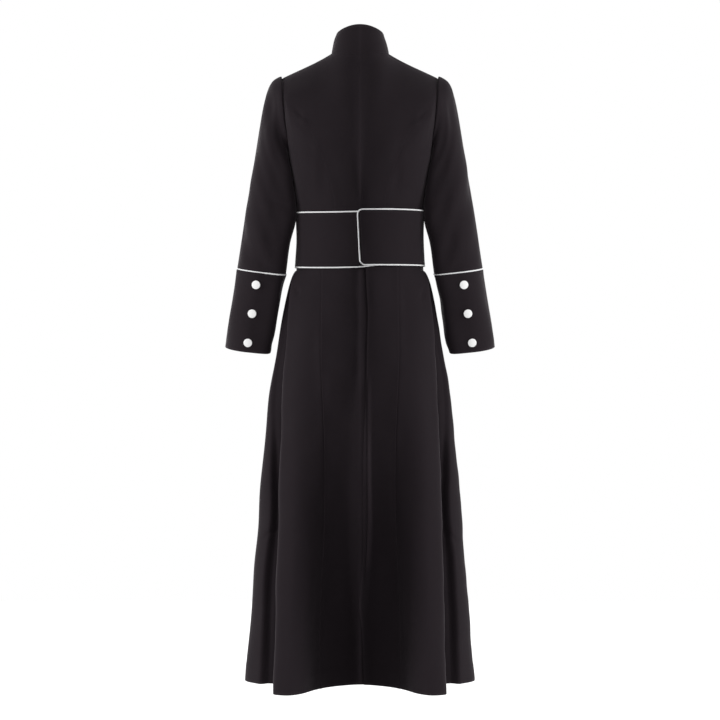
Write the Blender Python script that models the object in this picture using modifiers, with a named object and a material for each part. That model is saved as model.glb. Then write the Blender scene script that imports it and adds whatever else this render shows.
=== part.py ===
"""A black cassock with a wide belt and white piping, in the shape it has when worn, with no wearer.

Metres, +Z up. The garment faces -Y, so +X is the wearer's left and +Y is the back. The origin is
the middle of the neck, level with the foot of the collar, where the shoulders carry the cloth.

The cloth is one form, cut into panels at its seams. Below the waist each half of the form is a
ring of named fold lines, which start on the waist and spread towards the hem. Above it the form
is an oval that ribs carry up over the shoulder. Every panel is a grid of points on that form,
with the same grid moved in by the wall, and what lies on a panel is made from its points.
"""

import math
from collections import namedtuple

import bmesh
import bpy
import numpy as np
from mathutils import Vector

# ---------------------------------------------------------------- driving dimensions

WALL = 0.0020  # suiting
COLLAR_WALL = 0.0026  # two layers and the stiffening between them
BELT_WALL = 0.0026
SEAM = 0.0003  # between two pieces that are sewn together
PIPING = 0.0016  # radius of the white piping cord

WAIST_Z = -0.4050  # the seam between bodice and skirt, under the belt
FOLDS_Z = -0.4660  # where the belt lets go of the skirt
HEM_Z = -1.3375
CHEST_Z = -0.2150  # the underarm

# The oval of the body: its half width and its depth behind and in front of the side seam.
# fullness squares the oval off towards the shoulder blades and the chest.
Oval = namedtuple("Oval", "z half_width back front fullness")
OVALS = (
    Oval(-0.4660, 0.1365, 0.0960, 0.1040, 0.00),
    Oval(-0.4050, 0.1334, 0.0915, 0.0990, 0.02),
    Oval(-0.3450, 0.1345, 0.0945, 0.1060, 0.05),
    Oval(-0.2800, 0.1425, 0.1040, 0.1210, 0.14),
    Oval(-0.2150, 0.1530, 0.1120, 0.1280, 0.24),
)

# Back and front above the chest. Angles are in degrees from the middle of that face.
Face = namedtuple("Face", "sign depth neck_reach neck_drop middle neck tip neck_deg armhole_deg")
Handle = namedtuple("Handle", "out up")  # from the top edge: along the face's depth, and up
BACK = Face(1, "back", 0.0620, 0.0100, Handle(0.019, -0.035), Handle(0.045, -0.014),
            Handle(0.052, -0.012), 24, 62)
FRONT = Face(-1, "front", 0.0660, 0.0700, Handle(0.022, -0.026), Handle(0.050, -0.020),
             Handle(0.050, -0.014), 24, 60)
NECK_Y = 0.0040  # the neck stands this far behind the middle of the body
NECK_HALF = 0.0610
TIP = Vector((0.1675, -0.0060, -0.0520))  # the end of the shoulder seam
SHOULDER_DIP = 0.0022  # how far the seam falls below a straight line, a third of the way out
RIB_RISE = 0.075
ARMHOLE_SPREAD = 0.003
ARMHOLE_CURVE = 0.25  # the share of the ribs that the curved foot of the armhole takes

# The back princess seam, from the waist (height -1) past the chest (0) to the armhole.
SeamPoint = namedtuple("SeamPoint", "height degrees")
PRINCESS = (
    SeamPoint(-1.00, 36.0),
    SeamPoint(-0.64, 23.5),
    SeamPoint(-0.43, 25.2),
    SeamPoint(-0.16, 30.3),
    SeamPoint(0.12, 39.6),
    SeamPoint(0.34, 52.0),
    SeamPoint(0.50, 61.6),
)

# Fold lines of half a skirt, from the middle of the back to the middle of the front. Each starts
# on the waist at waist_deg and reaches (hem_x, hem_y). ease is the power of its spread.
Fold = namedtuple("Fold", "name waist_deg hem_x hem_y ease_x ease_y columns")
FOLDS = (
    Fold("centre_back", 0, 0.0000, 0.1180, 1.00, 0.45, 3),
    Fold("princess_seam", 36, 0.0705, 0.1580, 0.80, 0.70, 4),
    Fold("back_swell", 59, 0.1450, 0.2380, 0.60, 0.80, 3),
    Fold("back_ridge", 76, 0.1755, 0.2260, 0.35, 0.78, 2),
    Fold("ridge_behind", 79, 0.1690, 0.1760, 0.42, 0.80, 2),
    Fold("side_valley", 82, 0.1540, 0.1120, 0.55, 0.85, 2),
    Fold("side_flare", 86, 0.1990, 0.1020, 0.58, 0.85, 2),
    Fold("side_corner", 89, 0.2405, 0.0620, 0.585, 0.85, 3),
    Fold("side_seam", 94, 0.2390, -0.0100, 0.585, 0.85, 3),
    Fold("front_flare", 107, 0.2250, -0.0850, 0.60, 0.85, 3),
    Fold("front_valley", 122, 0.1800, -0.1360, 0.62, 0.85, 3),
    Fold("front_ridge", 138, 0.1480, -0.2120, 0.62, 0.82, 3),
    Fold("front_hollow", 160, 0.0760, -0.1960, 0.80, 0.80, 3),
    Fold("centre_front", 180, 0.0000, -0.2050, 1.00, 0.80, 0),
)

# How the spread of the skirt grows: the share of its fall, and the share its folds follow.
Flare = namedtuple("Flare", "fallen share")
FLARE = (
    Flare(0.000, 0.000),
    Flare(0.195, 0.197),
    Flare(0.318, 0.351),
    Flare(0.441, 0.467),
    Flare(0.564, 0.578),
    Flare(0.686, 0.670),
    Flare(0.809, 0.785),
    Flare(0.932, 0.905),
    Flare(1.000, 1.000),
)

# The centre-back pleat: how far right of the middle its edge lies, at each height.
PleatPoint = namedtuple("PleatPoint", "z edge")
PLEAT = (
    PleatPoint(-1.336, 0.0065),
    PleatPoint(-1.170, 0.0060),
    PleatPoint(-1.060, 0.0215),
    PleatPoint(-0.750, 0.0220),
    PleatPoint(-0.620, 0.0185),
    PleatPoint(-0.466, 0.0110),
    PleatPoint(-0.405, 0.0080),
)
PLEAT_UNDERLAP = 0.024
FRONT_LAP = 0.015  # the right front ends this far past the middle
FRONT_UNDERLAP = 0.018  # and the left front this far past it, underneath
# Both fronts have grid columns at these distances from the middle, so that they lie parallel.
LEFT_FRONT_COLUMNS = (-0.018, -0.015, -0.0075, 0.0, 0.0075, 0.015)
RIGHT_FRONT_COLUMNS = (-0.015, -0.0075, 0.0, 0.0075, 0.015)
SINK = WALL + 0.0005  # how far a wall drops to pass under another
SINK_RAMP = 0.030

# One sleeve and its cuff, as tilted ovals. drop_in and drop_back say how an oval tilts: how far
# it falls for each metre towards the body, and towards the back.
Sleeve = namedtuple("Sleeve", "z x y half_width half_depth drop_in drop_back")
SLEEVE = (
    Sleeve(-0.2700, 0.1866, 0.0050, 0.0464, 0.0610, 0.050, 0.000),
    Sleeve(-0.3450, 0.1927, 0.0035, 0.0528, 0.0575, 0.100, 0.020),
    Sleeve(-0.4000, 0.2018, 0.0010, 0.0519, 0.0550, 0.115, 0.050),
    Sleeve(-0.4672, 0.2117, -0.0040, 0.0523, 0.0535, 0.115, 0.096),
    Sleeve(-0.5290, 0.2230, -0.0120, 0.0513, 0.0510, 0.112, 0.120),
    Sleeve(-0.5930, 0.2347, -0.0215, 0.0510, 0.0490, 0.108, 0.140),
    Sleeve(-0.6335, 0.2419, -0.0285, 0.0496, 0.0480, 0.104, 0.158),
)
CUFF_TOP_Z = -0.4672

# How the sleeve leaves the armhole: out and up from it, and how it runs into the first oval.
Cap = namedtuple("Cap", "out spread lift hang lean")
HEAD = Cap(0.0375, 0.000, 0.009, 0.150, -0.025)
FLANK = Cap(0.0220, 0.012, 0.000, 0.060, -0.002)
UNDERARM = Cap(0.0080, 0.000, -0.008, 0.025, 0.002)

# The inside of the sleeve lies flat on the side of the body, this far off it at each height.
Clearance = namedtuple("Clearance", "z gap")
CLEARANCES = (Clearance(-0.3480, 0.0062), Clearance(-0.3340, 0.0015))
PRESS = 0.0030  # how softly it leaves the body

COLLAR_TOP_HALF = 0.0500
COLLAR_TOP_BACK = 0.0480
COLLAR_TOP_FRONT = 0.0580
COLLAR_TOP_SIDE_Z = 0.0430
COLLAR_TOP_BACK_RISE = 0.0120
COLLAR_TOP_FRONT_DROP = 0.0610
COLLAR_SWELL = 0.0015
COLLAR_SPLIT = 0.0015  # from the middle of the front to each end of the collar

# The belt runs from its inner end, hidden behind the right, once round to its outer end.
BELT_HEIGHT = 0.1130
BELT_CORNER = 0.0085
BELT_REST = 0.0016  # from the body to the band's inside
BELT_SECOND_LAYER = 0.0039  # how much further out its outer end lies
BeltPoint = namedtuple("BeltPoint", "degrees mid_z layer")
BELT = (
    BeltPoint(-48, -0.3985, 0.0),
    BeltPoint(-14, -0.4000, 0.0),
    BeltPoint(0, -0.4040, 0.0),
    BeltPoint(12, -0.4048, 0.0),
    BeltPoint(90, -0.4008, 0.0),
    BeltPoint(180, -0.3990, 0.0),
    BeltPoint(276, -0.3975, 0.0),
    BeltPoint(306, -0.3985, 1.0),
    BeltPoint(360.3, -0.4000, 1.0),
)
BELT_STEP_DEG = 7.6
BELT_LEAN = 0.048  # the outer end leans: its top corner reaches further round than its lower one
BELT_LEAN_LENGTH = 0.050

BUTTON_RADIUS = 0.0093
BUTTON_STAND = 0.0004  # from the cloth to a button's flat back
CUFF_BUTTON_Z = (-0.4930, -0.5530, -0.6140)
CUFF_BUTTON_TURN = (0.2360, 0.2425, 0.2465)  # share of the way round, from the outside to the back
FRONT_BUTTON_TOP_Z = -0.1000
FRONT_BUTTON_PITCH = 0.0700
FRONT_BUTTONS = 16
BELT_COVERS_Z = (-0.470, -0.330)

# Grid lines.
CHEST_ROWS = (-1.0, -0.82, -0.64, -0.43, -0.21, 0.0)
YOKE_ROWS = (0.012, 0.045, 0.11, 0.18, 0.25, 0.37, 0.50, 0.625, 0.75, 0.875, 1.0)
NECK_COLUMNS = 5  # from the middle of the back to the side of the neck
FRONT_NECK_COLUMNS = 4  # from the front's lap to the side of the neck
SIDE_BACK_TOP = 0.50
SKIRT_TOP_ROWS = (0.0, 0.5, 1.0)
SKIRT_ROWS = (0.012, 0.036, 0.08, 0.14, 0.22, 0.33, 0.46, 0.60, 0.74, 0.88, 1.0)
CAP_ROWS = (0.0, 0.14, 0.30, 0.50, 0.74, 1.0)
SLEEVE_ROWS_Z = (-0.307, -0.345, -0.372, -0.400, -0.433)
CUFF_ROWS_Z = (-0.510, -0.555, -0.598, -0.6335)


# ---------------------------------------------------------------- curves

def through(at, knots, values):
    """The smooth curve through (knots, values), read at at. Past its ends it stays level."""
    return follow(at, knots, values, np.gradient(np.asarray(values, float), knots))


def steady(at, knots, values):
    """The same for values that only rise, without ever falling between them."""
    rise = np.diff(values) / np.diff(knots)
    slopes = np.concatenate([rise[:1], 2 * rise[:-1] * rise[1:] / (rise[:-1] + rise[1:]), rise[-1:]])
    return follow(at, knots, values, slopes)


def follow(at, knots, values, slopes):
    knots = np.asarray(knots, float)
    values = np.asarray(values, float)
    at = np.clip(np.asarray(at, float), knots[0], knots[-1])
    i = np.clip(np.searchsorted(knots, at) - 1, 0, len(knots) - 2)
    step = knots[i + 1] - knots[i]
    u = (at - knots[i]) / step
    return (
        (1 + 2 * u) * (1 - u) ** 2 * values[i]
        + u * (1 - u) ** 2 * step * slopes[i]
        + u * u * (3 - 2 * u) * values[i + 1]
        + u * u * (u - 1) * step * slopes[i + 1]
    )


def column(table, name):
    return [getattr(row, name) for row in table]


def bezier(start, leave, arrive, end, u):
    u = np.asarray(u, float)[..., None]
    return (
        (1 - u) ** 3 * start
        + 3 * u * (1 - u) ** 2 * leave
        + 3 * u * u * (1 - u) * arrive
        + u ** 3 * end
    )


def points(x, y, z):
    return np.stack(np.broadcast_arrays(x, y, z), axis=-1).astype(float)


def unit(v):
    return v / np.linalg.norm(v, axis=-1, keepdims=True)


def normals(form, u, v, du, dv):
    """Normals of form(u, v), from the difference of points beside each point."""
    along_u = form(u + du, v) - form(u - du, v)
    along_v = form(u, v + dv) - form(u, v - dv)
    return unit(np.cross(along_v, along_u))


# ---------------------------------------------------------------- the form of the bodice

def oval(face, degrees, z):
    """A point of the body's oval, at an angle from the middle of that face."""
    a = np.radians(degrees)
    half_width = through(z, column(OVALS, "z"), column(OVALS, "half_width"))
    depth = through(z, column(OVALS, "z"), column(OVALS, face.depth))
    fullness = through(z, column(OVALS, "z"), column(OVALS, "fullness"))
    y = face.sign * depth * np.cos(a) * (1 + fullness * np.sin(a) ** 2)
    return points(half_width * np.sin(a), y, z)


def neckline(face, turn):
    """The foot of the collar. turn is 0 in the middle of the face and 1 at the side of the neck."""
    a = np.radians(90 * turn)
    y = NECK_Y + face.sign * face.neck_reach * np.cos(a)
    return points(NECK_HALF * np.sin(a), y, -face.neck_drop * np.cos(a) ** 2)


def top_edge(face, degrees):
    """Where the rib at this angle ends: on the neckline, on the shoulder seam, or past its tip."""
    on_neck = neckline(face, np.clip(degrees / face.neck_deg, 0, 1))
    neck_side = neckline(face, 1.0)
    along = (degrees - face.neck_deg) / (face.armhole_deg - face.neck_deg)
    along = np.clip(along, 0, 1)[..., None]
    on_shoulder = neck_side + along * (np.array(TIP) - neck_side)
    on_shoulder[..., 2:] -= SHOULDER_DIP * 6.75 * along * (1 - along) ** 2
    past = np.clip((degrees - face.armhole_deg) / (90 - face.armhole_deg), 0, 1)
    on_shoulder = on_shoulder + past[..., None] * np.array([0.006, 0, -0.012])
    return np.where((degrees < face.neck_deg)[..., None], on_neck, on_shoulder)


def bodice(face, degrees, height):
    """The bodice's outside. height runs from -1 at the waist, past 0 at the chest, to 1 at the top."""
    degrees, height = np.broadcast_arrays(np.asarray(degrees, float), np.asarray(height, float))
    side, degrees = np.where(degrees < 0, -1.0, 1.0), np.abs(degrees)
    below = oval(face, degrees, CHEST_Z + np.minimum(height, 0) * (CHEST_Z - WAIST_Z))
    chest = oval(face, degrees, np.full_like(degrees, CHEST_Z))
    lower = oval(face, degrees, np.full_like(degrees, CHEST_Z - 0.01))
    leave = chest + (chest - lower) / 0.01 * RIB_RISE
    leave[..., 0] += ARMHOLE_SPREAD * np.clip(degrees / face.armhole_deg, 0, 1) ** 3
    stops = (0, face.neck_deg, face.armhole_deg)
    handles = (face.middle, face.neck, face.tip)
    end = top_edge(face, degrees)
    out = np.interp(degrees, stops, column(handles, "out"))
    up = np.interp(degrees, stops, column(handles, "up"))
    arrive = end + points(0, face.sign * out, up)
    above = bezier(chest, leave, arrive, end, np.clip(height, 0, 1))
    found = np.where((height > 0)[..., None], above, below)
    found[..., 0] *= side
    return found


def armhole_degrees(face, height):
    """Where the armhole, or below it the side seam, cuts the bodice."""
    share = np.clip(1 - np.asarray(height, float) / ARMHOLE_CURVE, 0, 1)
    return 90 - (90 - face.armhole_deg) * np.sqrt(1 - share ** 2)


def bodice_normal(face, degrees, height):
    inner_height = np.clip(height, -0.999, 0.999)
    n = face.sign * normals(lambda u, v: bodice(face, u, v), degrees, inner_height, 0.2, 0.001)
    # Back and front meet in a ridge along the shoulder seam, so there they share one direction.
    seam = np.array(TIP) - neckline(face, 1.0)
    ridge = unit(np.array([-seam[2], 0.0, seam[0]]))
    on_ridge = (height > 0.999) & (np.abs(degrees) > face.neck_deg - 0.01)
    return np.where(on_ridge[..., None], ridge, n)


def bodice_wall(face, degrees, height, out=0.0):
    """The bodice's surface moved out, or in for a negative distance, along its normals."""
    degrees, height = np.broadcast_arrays(np.asarray(degrees, float), np.asarray(height, float))
    n = bodice_normal(face, degrees, height)
    on_armhole = (height >= 0) & (np.abs(degrees - armhole_degrees(face, height)) < 1e-6)
    mitre = armhole_mitre(face, np.clip(height, 0, 1))
    n = np.where(on_armhole[..., None], mitred(mitre, n), n)
    return bodice(face, degrees, height) + n * np.asarray(out, float)[..., None]


def mitred(mitre, n):
    """The mitre's direction, lengthened so that a wall moved along it keeps its thickness."""
    return mitre / np.maximum(np.sum(mitre * n, axis=-1, keepdims=True), 0.6)


# ---------------------------------------------------------------- the form of the skirt

HEM_POINTS = np.array([(fold.hem_x, fold.hem_y) for fold in FOLDS])
FOLD_AT = np.concatenate([[0], np.cumsum(np.linalg.norm(np.diff(HEM_POINTS, axis=0), axis=1) ** 0.7)])
AT = {fold.name: at for fold, at in zip(FOLDS, FOLD_AT)}


def waist_ring(degrees, z):
    """The body's oval at an angle from the middle of the back, all the way to the front."""
    degrees, z = np.broadcast_arrays(np.asarray(degrees, float), np.asarray(z, float))
    behind = oval(BACK, np.minimum(degrees, 90), z)
    before = oval(FRONT, np.minimum(180 - degrees, 90), z)
    return np.where((degrees <= 90)[..., None], behind, before)


def fold_spread(fold, z):
    """How far one fold line has left the waist's oval: nothing at the belt, all of it at the hem."""
    start = waist_ring(fold.waist_deg, FOLDS_Z)
    fallen = np.clip((FOLDS_Z - z) / (FOLDS_Z - HEM_Z), 0, 1)
    share = through(fallen, column(FLARE, "fallen"), column(FLARE, "share"))
    return np.array([
        (fold.hem_x - start[0]) * share ** fold.ease_x,
        (fold.hem_y - start[1]) * fallen ** fold.ease_y,
    ])


def skirt(at, z):
    """The skirt's outside on the +X half. at runs along the fold lines: 0 is the middle of the
    back, and less than 0, or more than the middle of the front, is across on the other half."""
    at, z = np.broadcast_arrays(np.asarray(at, float), np.asarray(z, float))
    shape, at, z = at.shape, at.ravel(), z.ravel()
    other_half = (at < 0) | (at > FOLD_AT[-1])
    at = np.where(at < 0, -at, np.where(at > FOLD_AT[-1], 2 * FOLD_AT[-1] - at, at))
    start = waist_ring(steady(at, FOLD_AT, column(FOLDS, "waist_deg")), np.maximum(z, FOLDS_Z))

    spread = np.array([fold_spread(fold, z) for fold in FOLDS])
    mirror = np.array([-1.0, 1.0])[:, None]
    spread = np.concatenate([spread[1:2] * mirror, spread, spread[-2:-1] * mirror])
    knots = np.concatenate([[-FOLD_AT[1]], FOLD_AT, [2 * FOLD_AT[-1] - FOLD_AT[-2]]])
    slopes = np.gradient(spread, knots, axis=0)
    i = np.clip(np.searchsorted(knots, at, side="right") - 1, 0, len(knots) - 2)
    step = knots[i + 1] - knots[i]
    u = (at - knots[i]) / step
    n = np.arange(len(at))
    xy = (
        (1 + 2 * u) * (1 - u) ** 2 * spread[i, :, n].T
        + u * (1 - u) ** 2 * step * slopes[i, :, n].T
        + u * u * (3 - 2 * u) * spread[i + 1, :, n].T
        + u * u * (u - 1) * step * slopes[i + 1, :, n].T
    )
    x = (start[:, 0] + xy[0]) * np.where(other_half, -1, 1)
    return points(x, start[:, 1] + xy[1], z).reshape(*shape, 3)


def skirt_wall(at, z, out=0.0):
    """The skirt's surface moved out, or in for a negative distance. The rings are level, so it
    moves level too, which keeps the waist and the hem flat."""
    outside = skirt(at, z)
    along = skirt(at + 0.002, z) - skirt(at - 0.002, z)
    n = unit(points(-along[..., 1], along[..., 0], 0))
    return outside + n * np.asarray(out, float)[..., None]


def at_distance(x, z):
    """The skirt's coordinate at a distance x from the middle of the back."""
    return FOLD_AT[1] * x / skirt(FOLD_AT[1], z)[..., 0]


def at_front_distance(x, z):
    """The skirt's coordinate at a distance x past the middle of the front."""
    last = skirt(FOLD_AT[-2], z)[..., 0]
    return FOLD_AT[-1] + (FOLD_AT[-1] - FOLD_AT[-2]) * x / last


# ---------------------------------------------------------------- the form of the sleeve

def armhole(face, height):
    return bodice(face, armhole_degrees(face, height), height)


def armhole_turn(face, height):
    """How far round the sleeve an armhole point belongs: 0 outside, 0.25 back, 0.5 inside."""
    rows = np.linspace(0, 1, 120)
    steps = np.linalg.norm(np.diff(armhole(face, rows), axis=0), axis=1)
    run = np.concatenate([[0], np.cumsum(steps)])
    return 0.5 - face.sign * 0.5 * np.interp(height, rows, run / run[-1])


def armhole_ring():
    """The armhole as a ring of points that the bodice's own rows put on it: from the shoulder's
    tip down the back to the underarm, and up the front. (points, turns, mitre directions)."""
    rows = np.array((0.0,) + YOKE_ROWS)
    found = []
    for read in (armhole, armhole_turn, armhole_mitre):
        found.append(np.concatenate([read(BACK, rows)[::-1], read(FRONT, rows)[1:-1]]))
    return found


def armhole_mitre(face, height):
    """Half way between the way the bodice faces and the way the sleeve faces, on the armhole."""
    turn = armhole_turn(face, height)
    step = 0.002
    upward = armhole(face, np.clip(height + step, 0, 1)) - armhole(face, np.clip(height - step, 0, 1))
    # At the tip and at the underarm the ring runs straight across, from back to front.
    level = np.where(height > 0.999, -1.0, np.where(height < 0.001, 1.0, 0.0))[..., None]
    upward = np.where(level != 0, level * np.array([0.0, face.sign, 0.0]), upward)
    sleeve = unit(np.cross(cap_leaves(turn), -face.sign * upward))
    return unit(sleeve + bodice_normal(face, armhole_degrees(face, height), height))


def sleeve_oval(turn, z):
    """A point of the sleeve below the armhole. z is the height of the oval's middle."""
    zs = column(SLEEVE, "z")[::-1]
    row = {f: through(z, zs, column(SLEEVE, f)[::-1]) for f in Sleeve._fields[1:]}
    a = 2 * np.pi * np.asarray(turn, float)
    dx = row["half_width"] * np.cos(a)
    dy = row["half_depth"] * np.sin(a)
    free = points(row["x"] + dx, row["y"] + dy, z + dx * row["drop_in"] - dy * row["drop_back"])
    return beside_body(free)


def body_half_width(y, z):
    """How far out the side of the bodice is, at a depth and a height."""
    z = np.clip(z, FOLDS_Z, CHEST_Z)
    depth = np.where(y > 0, *(through(z, column(OVALS, "z"), column(OVALS, f)) for f in ("back", "front")))
    fullness = through(z, column(OVALS, "z"), column(OVALS, "fullness"))
    wanted = np.clip(np.abs(y) / depth, 0, 0.9)
    cosine = wanted
    for _ in range(5):
        miss = cosine * (1 + fullness * (1 - cosine ** 2)) - wanted
        cosine = cosine - miss / (1 + fullness - 3 * fullness * cosine ** 2)
    return through(z, column(OVALS, "z"), column(OVALS, "half_width")) * np.sqrt(1 - cosine ** 2)


def beside_body(p):
    """Moves points of the sleeve out to the side of the body, where they would pass into it."""
    x, y, z = np.moveaxis(p, -1, 0)
    gap = through(z, column(CLEARANCES, "z"), column(CLEARANCES, "gap"))
    nearest = body_half_width(y, z) + gap
    pressed = (x + nearest + np.sqrt((x - nearest) ** 2 + PRESS ** 2)) / 2
    return points(np.where(z < CHEST_Z, pressed, x), y, z)


def cap_value(turn, name):
    """A Cap number at a turn: the head's at 0, the flank's at 0.25 and 0.75, the underarm's at 0.5."""
    c = np.cos(2 * np.pi * turn)
    head, flank, under = (getattr(cap, name) for cap in (HEAD, FLANK, UNDERARM))
    return flank + (head - under) / 2 * c + ((head + under) / 2 - flank) * c * c


def cap_leaves(turn):
    """The way the sleeve leaves the armhole, and how strongly."""
    return points(
        cap_value(turn, "out"),
        cap_value(turn, "spread") * np.sin(2 * np.pi * turn),
        cap_value(turn, "lift"),
    )


def sleeve_cap(start, turn, share):
    """The top of the sleeve, from the armhole (share 0) to the sleeve's first oval (1)."""
    first = sleeve_oval(turn, np.full_like(turn, SLEEVE[0].z))
    arrive = first + points(cap_value(turn, "lean"), 0, cap_value(turn, "hang"))
    return beside_body(bezier(start, start + cap_leaves(turn), arrive, first, share))


# ---------------------------------------------------------------- Blender

def clear_scene():
    for thing in list(bpy.data.objects):
        bpy.data.objects.remove(thing)


def material(name, colour, roughness):
    made = bpy.data.materials.new(name)
    made.use_nodes = True
    shader = made.node_tree.nodes["Principled BSDF"]
    shader.inputs["Base Color"].default_value = (*colour, 1.0)
    shader.inputs["Roughness"].default_value = roughness
    made.diffuse_color = (*colour, 1.0)
    return made


def add(mesh, name, finish):
    mesh.materials.append(finish)
    thing = bpy.data.objects.new(name, mesh)
    bpy.data.collections["cassock"].objects.link(thing)
    return thing


def cloth(name, outer, inner, finish, tube=False):
    """One closed wall of cloth: a grid of outer points, the same grid of inner points, and the
    edges between them. tube joins each row's last point to its first."""
    rows, columns = outer.shape[:2]
    grid = np.arange(rows * columns).reshape(rows, columns)
    if tube:
        grid = np.concatenate([grid, grid[:, :1]], axis=1)
    quads = np.stack([grid[:-1, :-1], grid[:-1, 1:], grid[1:, 1:], grid[1:, :-1]], axis=-1).reshape(-1, 4)
    inside = rows * columns
    edges = [grid[0], grid[-1]] if tube else [grid[0], grid[-1], grid[:, 0], grid[:, -1]]
    rims = [np.stack([e[:-1], e[1:], e[1:] + inside, e[:-1] + inside], axis=-1) for e in edges]
    faces = np.concatenate([quads, quads[:, ::-1] + inside, *rims])
    mesh = bpy.data.meshes.new(name)
    mesh.from_pydata(np.concatenate([outer.reshape(-1, 3), inner.reshape(-1, 3)]), [], faces.tolist())
    shaped = bmesh.new()
    shaped.from_mesh(mesh)
    bmesh.ops.recalc_face_normals(shaped, faces=shaped.faces)
    bmesh.ops.triangulate(shaped, faces=shaped.faces)
    shaped.to_mesh(mesh)
    shaped.free()
    mesh.shade_smooth()
    mesh.set_sharp_from_angle(angle=math.radians(50))
    return add(mesh, name, finish)


def sewn(grid, left=True, right=True, bottom=True, top=True):
    """Draws a panel's edges in by half a seam, towards the next points of its grid."""
    grid = grid.copy()
    half = SEAM / 2
    for wanted, edge, beside in (
        (left, np.s_[:, 0], np.s_[:, 1]),
        (right, np.s_[:, -1], np.s_[:, -2]),
        (bottom, np.s_[0], np.s_[1]),
        (top, np.s_[-1], np.s_[-2]),
    ):
        if wanted:
            grid[edge] += unit(grid[beside] - grid[edge]) * half
    return grid


def panel(name, side, form, first, second, wall, finish, free=()):
    """A panel on the +X half (side 1) or the -X half (side -1): form(first, second, out) on its
    grid, and again a wall further in. free names the edges that no other piece is sewn to."""
    keep = {edge: edge not in free for edge in ("left", "right", "bottom", "top")}
    mirror = np.array([side, 1.0, 1.0])
    outer = sewn(form(first, second, np.zeros_like(first)), **keep) * mirror
    inner = sewn(form(first, second, np.full_like(first, -wall)), **keep) * mirror
    return cloth(name, outer, inner, finish)


def between(start, end, shares):
    """A grid of coordinates: a row for each start and end, divided at the shares."""
    start, end = np.asarray(start, float), np.asarray(end, float)
    return start[:, None] + (end - start)[:, None] * np.asarray(shares)[None, :]


def cord(name, path, finish):
    """A round cord of piping through the path's points, as a curve with filled caps."""
    curve = bpy.data.curves.new(name, "CURVE")
    curve.dimensions = "3D"
    curve.bevel_depth = PIPING
    curve.bevel_resolution = 1
    curve.use_fill_caps = True
    line = curve.splines.new("POLY")
    line.points.add(len(path) - 1)
    line.points.foreach_set("co", np.column_stack([path, np.ones(len(path))]).ravel())
    curve.materials.append(finish)
    thing = bpy.data.objects.new(name, curve)
    bpy.data.collections["cassock"].objects.link(thing)
    return thing


# ---------------------------------------------------------------- bodice

def build_bodice(finish):
    rows = np.array(CHEST_ROWS + YOKE_ROWS)
    princess = through(rows, column(PRINCESS, "height"), column(PRINCESS, "degrees"))
    armhole = armhole_degrees(BACK, rows)
    centre_edge = np.where(rows <= SIDE_BACK_TOP, princess, armhole)
    neck = BACK.neck_deg / BACK.armhole_deg
    shares = np.concatenate([
        np.linspace(0, neck, NECK_COLUMNS + 1),
        np.linspace(neck, 1, 5)[1:],
    ])
    back = lambda a, b, out: bodice_wall(BACK, a, b, out)
    for side, hand in ((1, "left"), (-1, "right")):
        degrees = between(np.zeros_like(rows), centre_edge, shares)
        heights = np.broadcast_to(rows[:, None], degrees.shape)
        panel(f"bodice_back_{hand}", side, back, degrees, heights, WALL, finish)

        low = rows <= SIDE_BACK_TOP
        degrees = between(princess[low], armhole[low], np.linspace(0, 1, 5))
        heights = np.broadcast_to(rows[low][:, None], degrees.shape)
        panel(f"bodice_side_{hand}", side, back, degrees, heights, WALL, finish)
        build_bodice_front(side, hand, rows, finish)


def front_degrees(distance, rows):
    """The angle at a distance from the middle of the front, at each height."""
    return 5.0 * distance / bodice(FRONT, np.full_like(rows, 5.0), rows)[:, 0]


def build_bodice_front(side, hand, rows, finish):
    """A front runs past the middle. The left one (side 1) sinks there, to pass under the right."""
    near = LEFT_FRONT_COLUMNS if side > 0 else RIGHT_FRONT_COLUMNS
    lap = np.stack([front_degrees(distance, rows) for distance in near], axis=1)
    neck = np.full_like(rows, FRONT.neck_deg)
    chest = between(lap[:, -1], neck, np.linspace(0, 1, FRONT_NECK_COLUMNS + 1)[1:])
    shoulder = between(neck, armhole_degrees(FRONT, rows), np.linspace(0, 1, 5)[1:])
    degrees = np.concatenate([lap, chest, shoulder], axis=1)
    heights = np.broadcast_to(rows[:, None], degrees.shape)

    def form(a, b, out):
        if side > 0:
            x = bodice(FRONT, a, b)[..., 0]
            out = out - SINK * under_share(x, -FRONT_LAP)
        return bodice_wall(FRONT, a, b, out)

    panel(f"bodice_front_{hand}", side, form, degrees, heights, WALL, finish, free=("left",))


def under_share(x, edge):
    """1 where a wall lies under another, whose edge is at x = -edge, falling to 0 beside it."""
    u = np.clip((x + edge) / SINK_RAMP, 0, 1)
    return 1 - u * u * (3 - 2 * u)


# ---------------------------------------------------------------- skirt

def fold_columns(first, last):
    """Coordinates of the grid columns from one fold line to another."""
    found = []
    for fold, start, end in zip(FOLDS, FOLD_AT, FOLD_AT[1:]):
        if AT[first] - 1e-9 <= start < AT[last] - 1e-9:
            found.extend(np.linspace(start, end, fold.columns + 1)[:-1])
    return np.array(found + [AT[last]])


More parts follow.
